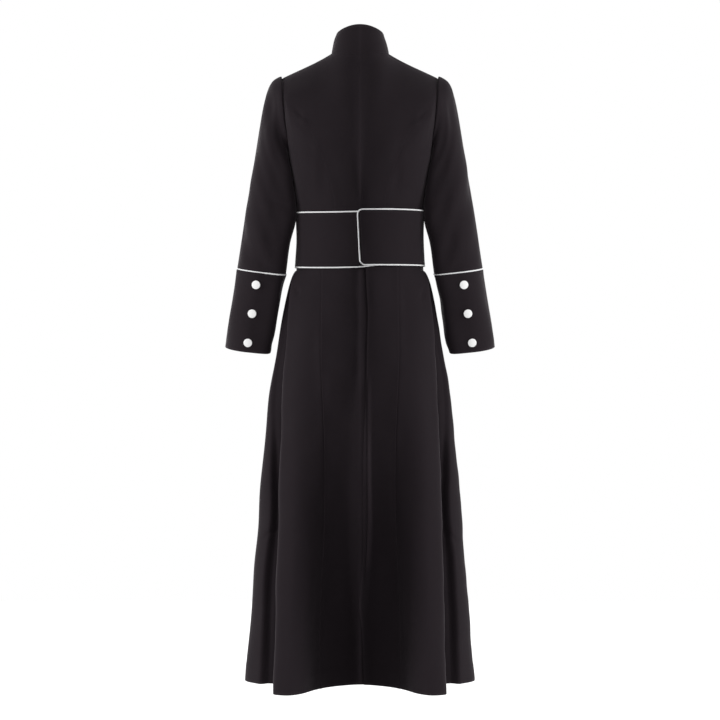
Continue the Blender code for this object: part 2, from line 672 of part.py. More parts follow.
def build_skirt(finish):
    top = WAIST_Z + np.array(SKIRT_TOP_ROWS) * (FOLDS_Z - WAIST_Z)
    z = np.concatenate([top, FOLDS_Z + np.array(SKIRT_ROWS) * (HEM_Z - FOLDS_Z)])[::-1]
    edge = through(z, column(PLEAT, "z"), column(PLEAT, "edge"))
    flank = np.tile(fold_columns("princess_seam", "side_seam"), (len(z), 1))
    front = np.tile(fold_columns("side_seam", "front_hollow"), (len(z), 1))
    seam = np.full_like(z, AT["princess_seam"])
    under = (PLEAT_UNDERLAP, PLEAT_UNDERLAP / 2, 0.0)
    for side, hand in ((1, "left"), (-1, "right")):
        if side > 0:
            lap = np.stack([at_distance(-(edge + more), z) for more in under] + [0 * z], axis=1)
        else:
            lap = np.stack([at_distance(edge + more, z) for more in under[::-1]], axis=1)
        rest = between(lap[:, -1], seam, np.linspace(0, 1, 4 if side > 0 else 3)[1:])
        back_at = np.concatenate([lap, rest], axis=1)
        near = (LEFT_FRONT_COLUMNS if side > 0 else RIGHT_FRONT_COLUMNS)[::-1]
        lap = np.stack([at_front_distance(-distance, z) for distance in near], axis=1)
        rest = between(front[:, -1], lap[:, 0], (0.4, 0.75))
        front_at = np.concatenate([front, rest, lap], axis=1)
        for name, at, free in (
            ("back", back_at, ("left", "bottom")),
            ("side", flank, ("bottom",)),
            ("front", front_at, ("right", "bottom")),
        ):
            zs = np.broadcast_to(z[:, None], at.shape)
            form = under_skirt if side > 0 and name != "side" else skirt_wall
            panel(f"skirt_{name}_{hand}", side, form, at, zs, WALL, finish, free=free)


def under_skirt(at, z, out):
    """The left half of the skirt, which passes under the right at the back and at the front."""
    x = skirt(at, z)[..., 0]
    edge = through(z, column(PLEAT, "z"), column(PLEAT, "edge"))
    behind = under_share(x, edge)
    before = under_share(x, -FRONT_LAP)
    at_back = at < AT["side_seam"]
    return skirt_wall(at, z, out - SINK * np.where(at_back, behind, before))


# ---------------------------------------------------------------- sleeves and cuffs

def tube_normals(rows):
    around = np.roll(rows, -1, axis=1) - np.roll(rows, 1, axis=1)
    return unit(np.cross(np.gradient(rows, axis=0), around))


def tube(name, side, rows, n, wall, finish):
    """A sleeve or cuff: rings of outer points, with the same rings moved in against n."""
    mirror = np.array([side, 1.0, 1.0])
    return cloth(name, rows * mirror, (rows - n * wall) * mirror, finish, tube=True)


def along(grid, distance, at_end):
    """Moves a tube's first or last ring along the tube, away from what it is sewn to."""
    grid = grid.copy()
    edge, beside = (-1, -2) if at_end else (0, 1)
    grid[edge] += unit(grid[beside] - grid[edge]) * distance
    return grid


def build_sleeves(finish, white):
    start, turn, mitre = armhole_ring()
    cap = np.array([sleeve_cap(start, turn, s) for s in CAP_ROWS])
    below = np.array([sleeve_oval(turn, np.full_like(turn, z)) for z in SLEEVE_ROWS_Z + (CUFF_TOP_Z,)])
    sleeve = along(along(np.concatenate([cap, below]), SEAM, at_end=False), PIPING + SEAM, at_end=True)
    sleeve_n = tube_normals(sleeve)
    sleeve_n[0] = mitred(mitre, sleeve_n[0])
    cuff = np.array([sleeve_oval(turn, np.full_like(turn, z)) for z in (CUFF_TOP_Z,) + CUFF_ROWS_Z])
    cuff = along(cuff, PIPING + SEAM, at_end=False)
    seam = sleeve_oval(turn, np.full_like(turn, CUFF_TOP_Z))
    for side, hand in ((1, "left"), (-1, "right")):
        mirror = np.array([side, 1.0, 1.0])
        tube(f"sleeve_{hand}", side, sleeve, sleeve_n, WALL, finish)
        tube(f"cuff_{hand}", side, cuff, tube_normals(cuff), WALL, finish)
        piping = cord(f"cuff_piping_{hand}", seam * mirror, white)
        piping.data.splines[0].use_cyclic_u = True
        for count, (z, button_turn) in enumerate(zip(CUFF_BUTTON_Z, CUFF_BUTTON_TURN)):
            spot = sleeve_oval(button_turn, z)
            around = sleeve_oval(button_turn + 0.01, z) - sleeve_oval(button_turn - 0.01, z)
            down = sleeve_oval(button_turn, z - 0.01) - sleeve_oval(button_turn, z + 0.01)
            place_button(f"cuff_button_{hand}_{count + 1}", spot * mirror,
                         unit(np.cross(down, around)) * mirror, white)


# ---------------------------------------------------------------- collar

def collar_point(face, turn, share):
    """The collar's outside: share is 0 at its foot and 1 at its top edge."""
    a = np.radians(90 * turn)
    foot = neckline(face, turn)
    back = face is BACK
    reach = COLLAR_TOP_BACK if back else COLLAR_TOP_FRONT
    rise = COLLAR_TOP_BACK_RISE if back else -COLLAR_TOP_FRONT_DROP
    top = points(
        COLLAR_TOP_HALF * np.sin(a),
        face.sign * reach * np.cos(a),
        COLLAR_TOP_SIDE_Z + rise * np.cos(a) ** 2,
    )
    swell = points(np.sin(a), face.sign * np.cos(a), 0) * COLLAR_SWELL
    return foot + (top - foot) * share + swell * 4 * share * (1 - share)


def build_collar(finish):
    split = COLLAR_SPLIT / NECK_HALF * 2 / math.pi
    lap = np.array([front_degrees(x, np.ones(1))[0] for x in RIGHT_FRONT_COLUMNS[-2:]]) / FRONT.neck_deg
    chest = np.linspace(lap[-1], 1, FRONT_NECK_COLUMNS + 1)[1:]
    front_turns = np.concatenate([[split], lap, chest])
    back_turns = np.linspace(1, 0, NECK_COLUMNS + 1)[1:]
    rings = []
    for share in (0.0, 0.5, 1.0):
        before = collar_point(FRONT, front_turns, share)
        behind = collar_point(BACK, back_turns, share)
        half = np.concatenate([before, behind])
        rings.append(np.concatenate([half, half[-2::-1] * np.array([-1.0, 1.0, 1.0])]))
    outer = np.array(rings)
    outer[0, :, 2] += SEAM
    around = np.gradient(outer, axis=1)
    up = np.gradient(outer, axis=0)
    level = unit(np.cross(around, up) * np.array([1.0, 1.0, 0.0]))
    cloth("collar", outer, outer - level * COLLAR_WALL, finish)


# ---------------------------------------------------------------- belt

def belt_distances():
    """(angles round the body, distance along the belt to each) from its inner to its outer end."""
    degrees = np.linspace(BELT[0].degrees, BELT[-1].degrees, 600)
    path = belt_point(degrees, 0.0, BELT_REST + BELT_WALL / 2)
    steps = np.linalg.norm(np.diff(path, axis=0), axis=1)
    return degrees, np.concatenate([[0], np.cumsum(steps)])


def belt_angle(station, height):
    """The angle at a distance along the belt. Its outer end leans, and its piping runs past it."""
    degrees, distance = belt_distances()
    length = distance[-1]
    u = np.clip((station - length) / BELT_LEAN_LENGTH + 1, 0, 1)
    station = station + BELT_LEAN * height * u * u * (3 - 2 * u)
    past = np.maximum(station - length, 0)
    rate = (degrees[-1] - degrees[-2]) / (distance[-1] - distance[-2])
    return np.interp(station, distance, degrees) + past * rate


def belt_point(degrees, height, out):
    """A point of the belt at an angle round the body: height from its middle line, out from the body."""
    degrees = np.asarray(degrees, float)
    mid_z = through(degrees, column(BELT, "degrees"), column(BELT, "mid_z"))
    layer = np.interp(degrees, column(BELT, "degrees"), column(BELT, "layer"))
    layer = layer * layer * (3 - 2 * layer)
    z = mid_z + height
    place = lambda a: around_body(a, z)
    along_ring = place(degrees + 0.2) - place(degrees - 0.2)
    n = unit(points(-along_ring[..., 1], along_ring[..., 0], 0))
    return place(degrees) + n * (out + BELT_SECOND_LAYER * layer)[..., None]


def around_body(degrees, z):
    """The body's oval at any angle from the middle of the back, the wearer's left first."""
    folded = np.mod(degrees, 360)
    side = np.where(folded > 180, -1.0, 1.0)
    ring = waist_ring(np.where(folded > 180, 360 - folded, folded), z)
    return points(ring[..., 0] * side, ring[..., 1], z)


def build_belt(finish, white):
    length = belt_distances()[1][-1]
    plain = np.linspace(0, length - BELT_CORNER, round(410 / BELT_STEP_DEG))
    corner_turn = np.radians((67.5, 45, 22.5, 0))
    stations = np.concatenate([plain, length - BELT_CORNER * (1 - np.cos(corner_turn))])
    cut = np.concatenate([0 * plain, BELT_CORNER * (1 - np.sin(corner_turn))])
    heights = (BELT_HEIGHT / 2 - cut)[None, :] * np.array([-1, -0.34, 0.34, 1])[:, None]
    angles = belt_angle(stations[None, :], heights)
    outer = belt_point(angles, heights, np.full(heights.shape, BELT_REST + BELT_WALL))
    inner = belt_point(angles, heights, np.full(heights.shape, BELT_REST))
    cloth("belt", outer, inner, finish)

    # The piping runs along the same stations, a seam and its own radius outside the band's edge.
    reach = BELT_CORNER + SEAM + PIPING
    turn = np.radians((90, 67.5, 45, 22.5, 0))
    edge_at = np.concatenate([plain[:-1], length - BELT_CORNER + reach * np.cos(turn)])
    edge_up = BELT_HEIGHT / 2 - BELT_CORNER + np.concatenate(
        [np.full(len(plain) - 1, reach), reach * np.sin(turn)]
    )
    edge_at = np.concatenate([edge_at, edge_at[::-1]])
    edge_up = np.concatenate([edge_up, -edge_up[::-1]])
    middle = np.full(len(edge_up), BELT_REST + BELT_WALL / 2)
    cord("belt_piping", belt_point(belt_angle(edge_at, edge_up), edge_up, middle), white)


# ---------------------------------------------------------------- buttons

# Half of a button's outline, from the middle of its face to the middle of its back, in radii.
BUTTON_OUTLINE = ((0.0, 0.40), (0.45, 0.38), (0.80, 0.36), (1.0, 0.20), (0.92, 0.04), (0.55, 0.0), (0.0, 0.0))


def button_mesh():
    mesh = bpy.data.meshes.new("button")
    outline = [(x * BUTTON_RADIUS, 0.0, z * BUTTON_RADIUS) for x, z in BUTTON_OUTLINE]
    mesh.from_pydata(outline, [(i, i + 1) for i in range(len(outline) - 1)], [])
    return mesh


def place_button(name, spot, outward, finish):
    """A turned button, standing a seam off the cloth at a spot, facing outward."""
    mesh = bpy.data.meshes.get("button") or button_mesh()
    if not mesh.materials:
        mesh.materials.append(finish)
    button = bpy.data.objects.new(name, mesh)
    bpy.data.collections["cassock"].objects.link(button)
    outward = Vector(unit(np.asarray(outward, float)))
    button.rotation_euler = outward.to_track_quat("Z", "Y").to_euler()
    button.location = Vector(spot) + outward * BUTTON_STAND
    turned = button.modifiers.new("turned", "SCREW")
    turned.steps = turned.render_steps = 12
    turned.use_merge_vertices = True
    turned.merge_threshold = 0.0001
    turned.use_smooth_shade = True


def build_front_buttons(white):
    count = 0
    for step in range(FRONT_BUTTONS):
        z = FRONT_BUTTON_TOP_Z - FRONT_BUTTON_PITCH * step
        if BELT_COVERS_Z[0] < z < BELT_COVERS_Z[1]:
            continue
        count += 1
        spot, outward = front_middle(z)
        place_button(f"front_button_{count:02d}", spot, outward, white)


def front_line(distance, z):
    """The right front's points at a distance from its middle, row by row, upwards. Bodice or
    skirt: whichever the height z is on."""
    if z > WAIST_Z:
        rows = np.array(CHEST_ROWS + YOKE_ROWS)
        return bodice(FRONT, front_degrees(distance, rows), rows)
    levels = FOLDS_Z + np.array((0.0,) + SKIRT_ROWS)[::-1] * (HEM_Z - FOLDS_Z)
    return skirt(at_front_distance(-distance, levels), levels)


def front_middle(z):
    """The point of the front's middle line at a height, and the way it faces there. The point
    stands just far enough out for a flat button to clear the panel's facets."""
    middle = front_line(0.0, z)
    low, here, high = np.interp((z - BUTTON_RADIUS, z, z + BUTTON_RADIUS), middle[:, 2], middle[:, 1])
    outward = unit(np.array([0.0, -1.0, (high - low) / (2 * BUTTON_RADIUS)]))
    spot = np.array([0.0, here, z])
    rises = []
    for distance in (0.0, RIGHT_FRONT_COLUMNS[-2], BUTTON_RADIUS):
        line = front_line(distance, z)
        across = z + np.linspace(-1, 1, 9) * math.sqrt(BUTTON_RADIUS ** 2 - distance ** 2)
        y = np.interp(across, line[:, 2], line[:, 1])
        rises.append(max((points(distance, y, across) - spot) @ outward))
    return spot + outward * max(rises), outward


def main():
    clear_scene()
    bpy.context.scene.collection.children.link(bpy.data.collections.new("cassock"))
    black = material("black_suiting", (0.014, 0.0125, 0.0145), 0.78)
    white_piping = material("white_piping", (0.86, 0.86, 0.87), 0.6)
    white_button = material("white_button", (0.88, 0.88, 0.88), 0.3)
    build_bodice(black)
    build_skirt(black)
    build_sleeves(black, white_piping)
    build_collar(black)
    build_belt(black, white_piping)
    build_front_buttons(white_button)


main()
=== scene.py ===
# %% [markdown]
# # A black cassock
#
# This is a priest's ankle-length coat in black suiting, worn closed, with a stand collar, deep
# buttoned cuffs, a wide belt and a skirt that flares from the waist. White piping edges the belt
# and the cuffs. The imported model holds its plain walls, each panel a node of its own.
#
# Cloth could be simulated from flat panels, but this coat is filled out with nobody inside, so it
# would have nothing to fall on. Instead each panel is a function of two numbers, cut from the same
# form as the plain wall that it replaces and read on a grid of a few millimetres.

# %% Load the frame
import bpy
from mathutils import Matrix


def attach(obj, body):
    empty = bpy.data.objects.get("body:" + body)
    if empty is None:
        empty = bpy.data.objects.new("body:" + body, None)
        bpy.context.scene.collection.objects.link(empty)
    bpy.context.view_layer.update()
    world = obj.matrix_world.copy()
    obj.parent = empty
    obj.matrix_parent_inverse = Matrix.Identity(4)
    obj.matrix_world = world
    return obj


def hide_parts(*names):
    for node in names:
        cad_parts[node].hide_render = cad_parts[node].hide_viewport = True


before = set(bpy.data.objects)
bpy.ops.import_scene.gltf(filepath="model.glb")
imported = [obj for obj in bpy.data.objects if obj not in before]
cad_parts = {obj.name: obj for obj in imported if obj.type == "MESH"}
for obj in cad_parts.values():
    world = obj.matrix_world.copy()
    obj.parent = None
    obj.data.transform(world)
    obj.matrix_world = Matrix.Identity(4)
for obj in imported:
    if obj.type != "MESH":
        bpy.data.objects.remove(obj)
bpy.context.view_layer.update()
print("nodes to dress:", len(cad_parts))

# %% Open the toolbox
from collections import namedtuple

import bpy
import numpy as np

# %% [markdown]
# ## Curves through a tailor's measures
#
# A tailor writes down a few measures: so wide at the waist, so wide at the chest. Between two of
# them the cloth runs smoothly. Blender's curve objects could do that, but they are read one point
# at a time. A cubic curve written with numpy answers for a whole grid in one call.

# %% Curves through measures
def cubic(u, step, start, end, leave, arrive):
    """From start to end in one step, with the slope leave at u = 0 and arrive at u = 1."""
    return ((1 + 2 * u) * (1 - u) ** 2 * start + u * (1 - u) ** 2 * step * leave
            + u * u * (3 - 2 * u) * end + u * u * (u - 1) * step * arrive)


def follow(at, knots, values, slopes):
    """The cubic curve that has these values and slopes at its knots, level past both ends."""
    knots, values = np.asarray(knots, float), np.asarray(values, float)
    at = np.clip(np.asarray(at, float), knots[0], knots[-1])
    i = np.clip(np.searchsorted(knots, at) - 1, 0, len(knots) - 2)
    step = knots[i + 1] - knots[i]
    return cubic((at - knots[i]) / step, step, values[i], values[i + 1], slopes[i], slopes[i + 1])


def through(at, knots, values):
    """The same curve, where each slope is the average of the slopes on both sides of its knot."""
    return follow(at, knots, values, np.gradient(np.asarray(values, float), knots))


def steady(at, knots, values):
    """The same for values that only rise. Harmonic averages keep it from ever falling."""
    rise = np.diff(values) / np.diff(knots)
    middle = 2 * rise[:-1] * rise[1:] / (rise[:-1] + rise[1:])
    return follow(at, knots, values, np.concatenate([rise[:1], middle, rise[-1:]]))


def table_of(names, *rows):
    """Rows of measures whose columns have these names."""
    row = namedtuple("Row", names)
    return tuple(row(*numbers) for numbers in rows)


def column(table, name):
    """One measure of every row of a table."""
    return [getattr(row, name) for row in table]


print("a curve through 0, 1 and 4 is at", through(1.5, (0, 1, 2), (0, 1, 4)), "in its last step")


# %% Points and directions
def points(x, y, z):
    """Three arrays of coordinates as one array of points."""
    return np.stack(np.broadcast_arrays(x, y, z), axis=-1).astype(float)


def unit(v):
    """Each vector divided by its own length."""
    return v / np.maximum(np.linalg.norm(v, axis=-1, keepdims=True), 1e-12)


def run_along(path):
    """The distance run along a path of points up to each of them."""
    return np.concatenate([[0], np.cumsum(np.linalg.norm(np.diff(path, axis=0), axis=1))])


def smooth(u):
    """0 up to 0, 1 from 1 on, and 3u² - 2u³ between."""
    u = np.clip(u, 0, 1)
    return u * u * (3 - 2 * u)


def bezier(start, leave, arrive, end, u):
    """From start towards one handle, and from the other to the end: (1 - u)³ start
    + 3u (1 - u)² leave + 3u² (1 - u) arrive + u³ end."""
    u = np.asarray(u, float)[..., None]
    return ((1 - u) ** 3 * start + 3 * u * (1 - u) ** 2 * leave
            + 3 * u * u * (1 - u) * arrive + u ** 3 * end)


def facing(form, u, v, du, dv):
    """Normals of form(u, v): the cross product of the steps to the points beside each point."""
    return unit(np.cross(form(u, v + dv) - form(u, v - dv), form(u + du, v) - form(u - du, v)))


print("smooth at a quarter, a half and three quarters:", smooth(np.array([0.25, 0.5, 0.75])))


# %% [markdown]
# ## The form of the bodice
#
# Below the underarm the bodice is an oval that narrows to the waist. Above it, every point of the
# oval climbs a rib over the shoulder blade or the chest to the neckline or the shoulder seam. One
# form for all six panels means that they meet exactly where they are sewn.

# %% The oval of the body
WALL = 0.0020
WAIST_Z = -0.4050  # the waist seam, under the belt
FOLDS_Z = -0.4660  # the foot of the belt, where the skirt starts to spread
HEM_Z = -1.3375
CHEST_Z = -0.2150  # the underarm

# Half the body's width, and its depth behind and in front of the side seam. fullness squares the
# oval off towards the shoulder blades and the chest.
OVALS = table_of(
    "z half_width back front fullness",
    (-0.4660, 0.1365, 0.0960, 0.1040, 0.00),
    (-0.4050, 0.1334, 0.0915, 0.0990, 0.02),
    (-0.3450, 0.1345, 0.0945, 0.1060, 0.10),
    (-0.2800, 0.1425, 0.1040, 0.1210, 0.20),
    (-0.2150, 0.1530, 0.1120, 0.1280, 0.28),
)


def measure(z, name):
    """One measure of the body's oval at a height."""
    return through(z, column(OVALS, "z"), column(OVALS, name))


# Back and front above the underarm. Angles are in degrees from the middle of that face, and a
# handle says how far a rib bends out and up before it reaches the top.
Handle = namedtuple("Handle", "out up")
Face = namedtuple("Face", "sign depth neck_reach neck_drop middle neck tip neck_deg armhole_deg")
BACK = Face(1, "back", 0.0620, 0.0100, Handle(0.019, -0.035), Handle(0.045, -0.014),
            Handle(0.052, -0.012), 24, 62)
FRONT = Face(-1, "front", 0.0660, 0.0700, Handle(0.022, -0.026), Handle(0.050, -0.020),
             Handle(0.050, -0.014), 24, 60)
NECK_Y = 0.0040
NECK_HALF = 0.0610
TIP = np.array([0.1675, -0.0060, -0.0520])  # the end of the shoulder seam
PAST_TIP = np.array([0.006, 0, -0.012])
SHOULDER_DIP = 0.0022
RIB_RISE = 0.075
ARMHOLE_SPREAD = 0.003
ARMHOLE_CURVE = 0.25  # the share of the ribs that the armhole's curved foot takes
ARMHOLE_BOW = 14.0  # degrees that its lower part lies further round behind


def oval(face, degrees, z):
    """x = width sin a, y = depth cos a (1 + fullness sin² a)."""
    a = np.radians(degrees)
    y = measure(z, face.depth) * np.cos(a) * (1 + measure(z, "fullness") * np.sin(a) ** 2)
    return points(measure(z, "half_width") * np.sin(a), face.sign * y, z)


print("at the waist the coat is", round(2 * float(measure(WAIST_Z, "half_width")), 3), "m wide")


# %% The neckline and the shoulder seam
def neckline(face, turn):
    """The foot of the collar, an ellipse that dips: turn is 0 in the middle and 1 at the side."""
    a = np.radians(90 * np.asarray(turn, float))
    y = NECK_Y + face.sign * face.neck_reach * np.cos(a)
    return points(NECK_HALF * np.sin(a), y, -face.neck_drop * np.cos(a) ** 2)


def top_edge(face, degrees):
    """Where the rib at an angle ends: on the neckline, on the shoulder seam, or past its tip. The
    seam is straight, less 6.75 SHOULDER_DIP s (1 - s)², which is deepest a third of the way."""
    on_neck = neckline(face, np.clip(degrees / face.neck_deg, 0, 1))
    neck_side = neckline(face, 1.0)
    share = np.clip((degrees - face.neck_deg) / (face.armhole_deg - face.neck_deg), 0, 1)[..., None]
    on_shoulder = neck_side + share * (TIP - neck_side)
    on_shoulder[..., 2:] -= SHOULDER_DIP * 6.75 * share * (1 - share) ** 2
    past = np.clip((degrees - face.armhole_deg) / (90 - face.armhole_deg), 0, 1)
    on_shoulder = on_shoulder + past[..., None] * PAST_TIP
    return np.where((degrees < face.neck_deg)[..., None], on_neck, on_shoulder)


print("half the shoulder seam is", round(float(np.linalg.norm(TIP - neckline(BACK, 1.0))), 3), "m long")

# %% The back beside the sleeves
OUTER_BACK = 0.0130


def outer_back(degrees, height):
    """How far the back stands out beside the sleeves, where it is cut flat across the blades. It
    swells from 30 to 68 degrees round and is gone at 90, and it fades out towards the waist and
    over the upper ribs."""
    around = smooth((degrees - 30) / 38) * smooth((90 - degrees) / 17)
    return OUTER_BACK * around * smooth((height + 0.72) / 0.50) * smooth((1 - height) / 0.55)


print("the back stands out", round(1000 * float(outer_back(70.0, 0.2)), 1), "mm beside the sleeves")

# %% The corner at the neck, eased
EASE_SPAN = 14.0  # degrees either way
EASE_FADES = (44.0, 56.0)
EASE_HEIGHT = 0.88  # above this the corner at the neck comes back


def sharp_top(face, degrees):
    """Each rib's end and its handle before the corner at the neck is eased. Angles below 0 are
    the other half's."""
    side, degrees = np.where(degrees < 0, -1.0, 1.0), np.abs(degrees)
    stops = (0, face.neck_deg, face.armhole_deg)
    handles = (face.middle, face.neck, face.tip)
    end = top_edge(face, degrees)
    out = face.sign * np.interp(degrees, stops, column(handles, "out"))
    arrive = end + points(0, out, np.interp(degrees, stops, column(handles, "up")))
    end[..., 0] *= side
    arrive[..., 0] *= side
    return end, arrive


EASE_DEGREES = np.arange(0, 90.1, 0.5)


def eased_tops(face):
    """The ends and handles averaged over EASE_SPAN degrees either way, which rounds off the ridge
    that the neck's corner would send down the back. Next to the armhole nothing changes."""
    shifts = np.linspace(-1, 1, 21)
    weights = (1 - shifts ** 2) / (1 - shifts ** 2).sum()
    fade = 1 - smooth((EASE_DEGREES - EASE_FADES[0]) / (EASE_FADES[1] - EASE_FADES[0]))
    eased = []
    for k in (0, 1):
        near = [sharp_top(face, EASE_DEGREES + EASE_SPAN * shift)[k] for shift in shifts]
        change = np.einsum("k,kij->ij", weights, np.array(near)) - sharp_top(face, EASE_DEGREES)[k]
        eased.append(change * fade[:, None])
    return eased


EASED = {face.depth: eased_tops(face) for face in (BACK, FRONT)}
print("easing moves the top edges by up to", round(1000 * np.abs(EASED["back"][0]).max(), 1), "mm")

# %% The outside of the bodice
SLOPE_STEP = 0.01  # metres below the chest, where the ribs' own slope is read


def bodice(face, degrees, height):
    """The bodice's outside. height runs from -1 at the waist past 0 at the underarm to 1: the
    body's oval below 0, and above it a cubic that goes on from the oval's slope to the top."""
    degrees, height = np.broadcast_arrays(np.asarray(degrees, float), np.asarray(height, float))
    side, degrees = np.where(degrees < 0, -1.0, 1.0), np.abs(degrees)
    below = oval(face, degrees, CHEST_Z + np.minimum(height, 0) * (CHEST_Z - WAIST_Z))
    chest = oval(face, degrees, np.full_like(degrees, CHEST_Z))
    lower = oval(face, degrees, np.full_like(degrees, CHEST_Z - SLOPE_STEP))
    leave = chest + (chest - lower) / SLOPE_STEP * RIB_RISE
    leave[..., 0] += ARMHOLE_SPREAD * np.clip(degrees / face.armhole_deg, 0, 1) ** 3
    end, arrive = sharp_top(face, degrees)
    change, handle_change = (
        np.stack([np.interp(degrees, EASE_DEGREES, part[:, k]) for k in range(3)], axis=-1)
        for part in EASED[face.depth]
    )
    up = np.clip(height, 0, 1)
    cornered = smooth((up - EASE_HEIGHT) / (1 - EASE_HEIGHT))[..., None]
    above = bezier(chest, leave, arrive + handle_change, end + change * (1 - cornered), up)
    found = np.where((height > 0)[..., None], above, below)
    found[..., 0] *= side
    if face is BACK:
        found[..., 1] += outer_back(degrees, height)
    return found


rises = np.ptp(bodice(BACK, 0.0, np.array([-1.0, 1.0]))[:, 2])
print("the middle of the back rises", round(rises, 3), "m from the waist seam to the collar")


# %% The armhole
def armhole_degrees(face, height):
    """The angle where the armhole cuts the ribs: a quarter circle at its foot, then a line that
    comes in by ARMHOLE_BOW degrees, behind alone, on its way to the shoulder seam."""
    height = np.asarray(height, float)
    share = np.clip(1 - height / ARMHOLE_CURVE, 0, 1)
    bow = ARMHOLE_BOW * (1 - smooth((height - 0.15) / 0.85)) if face is BACK else 0.0
    return 90 - (90 - face.armhole_deg - bow) * np.sqrt(1 - share ** 2)


def armhole(face, height):
    """The ribs' points at the armhole's angles."""
    return bodice(face, armhole_degrees(face, height), height)


def armhole_turn(face, height):
    """How far round the sleeve a point of the armhole belongs, by its distance from the tip."""
    rows = np.linspace(0, 1, 120)
    run = run_along(armhole(face, rows))
    return 0.5 - face.sign * 0.5 * np.interp(height, rows, run / run[-1])


def bodice_facing(face, degrees, height):
    """Normals of the bodice. Along the shoulder seam back and front share the seam's own."""
    inner = np.clip(height, -0.999, 0.999)
    n = face.sign * facing(lambda u, v: bodice(face, u, v), degrees, inner, 0.2, 0.001)
    seam = TIP - neckline(face, 1.0)
    ridge = unit(np.array([-seam[2], 0.0, seam[0]]))
    on_ridge = (height > 0.999) & (np.abs(degrees) > face.neck_deg - 0.01)
    return np.where(on_ridge[..., None], ridge, n)


armhole_runs = [run_along(armhole(face, np.linspace(0, 1, 120)))[-1] for face in (BACK, FRONT)]
print("the armhole runs", np.round(armhole_runs, 3), "m behind and in front")

# %% [markdown]
# ## The form of the sleeve
#
# A set-in sleeve is a tube that ends in a rounded head, eased into the armhole so that it stands
# up a little outside the seam. Below the head the tube is a stack of tilted ovals, and its inside
# rests on the side of the body.

# %% The ovals of the sleeve
# drop_in and drop_back: how far an oval falls for each metre towards the body and the back.
SLEEVE = table_of(
    "z x y half_width half_depth drop_in drop_back",
    (-0.2700, 0.1866, -0.0020, 0.0464, 0.0560, 0.050, 0.000),
    (-0.3450, 0.1907, -0.0020, 0.0548, 0.0555, 0.100, 0.020),
    (-0.4000, 0.2018, -0.0020, 0.0519, 0.0550, 0.115, 0.050),
    (-0.4672, 0.2117, -0.0040, 0.0523, 0.0535, 0.115, 0.096),
    (-0.5290, 0.2230, -0.0120, 0.0513, 0.0510, 0.112, 0.120),
    (-0.5930, 0.2347, -0.0215, 0.0510, 0.0490, 0.108, 0.140),
    (-0.6335, 0.2419, -0.0285, 0.0496, 0.0480, 0.104, 0.158),
)
SLEEVE_TOP_Z = SLEEVE[0].z
CUFF_TOP_Z = SLEEVE[3].z
CUFF_HEM_Z = SLEEVE[-1].z

# The gap between the sleeve and the side of the body at each height, and how softly it opens.
CLEARANCES = table_of("z gap", (-0.3620, 0.0052), (-0.3400, -0.0004))
PRESS = 0.0008
SLOT = 0.0038  # how wide the gap opens towards the back


def body_half_width(y, z):
    """How far out the side of the body is: the oval's formula solved for its angle by eight
    Newton steps, each shortened to 0.6 of its length."""
    z = np.clip(z, FOLDS_Z, CHEST_Z)
    depth = np.where(y > 0, measure(z, "back"), measure(z, "front"))
    fullness = measure(z, "fullness")
    height = (z - CHEST_Z) / (CHEST_Z - WAIST_Z)
    cosine = np.clip(np.abs(y) / depth, 0, 0.9)
    for _ in range(8):
        more = np.where(y > 0, outer_back(np.degrees(np.arccos(cosine)), height), 0)
        wanted = np.clip((np.abs(y) - more) / depth, 0, 0.9)
        miss = cosine * (1 + fullness * (1 - cosine ** 2)) - wanted
        cosine = np.clip(cosine - 0.6 * miss / (1 + fullness - 3 * fullness * cosine ** 2), 0, 0.9)
    return measure(z, "half_width") * np.sqrt(1 - cosine ** 2)


def beside_body(p):
    """Pushes points of the sleeve out to the side of the body: (x + near + root of (x - near)²
    + PRESS²) / 2. The slot between them opens 5 to 27 mm behind the middle, below the underarm."""
    x, y, z = np.moveaxis(p, -1, 0)
    nearest = body_half_width(y, z) + through(z, column(CLEARANCES, "z"), column(CLEARANCES, "gap"))
    nearest = nearest + SLOT * smooth((y - 0.005) / 0.022) * smooth((-0.212 - z) / 0.030)
    pressed = (x + nearest + np.sqrt((x - nearest) ** 2 + PRESS ** 2)) / 2
    return points(np.where(z < CHEST_Z, pressed, x), y, z)


SQUARE = 5.0  # 2 would be an ellipse


def sleeve_oval(turn, z):
    """A point of the tube: turn is 0 outside, 0.25 at the back, 0.5 beside the body. Behind, beside
    the body, the oval is squared off: |x|^SQUARE + |y|^SQUARE = 1."""
    heights = column(SLEEVE, "z")[::-1]
    row = {f: through(z, heights, column(SLEEVE, f)[::-1]) for f in SLEEVE[0]._fields[1:]}
    a = 2 * np.pi * np.asarray(turn, float)
    power = np.where((np.cos(a) < 0) & (np.sin(a) > 0), SQUARE, 2.0)
    reach = (np.abs(np.cos(a)) ** power + np.abs(np.sin(a)) ** power) ** (-1 / power)
    dx, dy = row["half_width"] * np.cos(a) * reach, row["half_depth"] * np.sin(a) * reach
    drop = dx * row["drop_in"] - dy * row["drop_back"]
    return beside_body(points(row["x"] + dx, row["y"] + dy, z + drop))


print("the cuff's hem is", round(2 * SLEEVE[-1].half_width, 3), "m wide")


# %% The head of the sleeve
Cap = namedtuple("Cap", "out spread lift hang lean")
HEAD = Cap(0.0375, 0.000, 0.009, 0.150, -0.025)
FLANK = Cap(0.0220, 0.003, 0.000, 0.060, -0.002)
UNDERARM = Cap(0.0040, 0.000, -0.008, 0.025, 0.000)


def cap_value(turn, name):
    """A Cap number at a turn: the head's at 0, the flank's at a quarter, the underarm's at half."""
    c = np.cos(2 * np.pi * turn)
    head, flank, under = (getattr(cap, name) for cap in (HEAD, FLANK, UNDERARM))
    return flank + (head - under) / 2 * c + ((head + under) / 2 - flank) * c * c


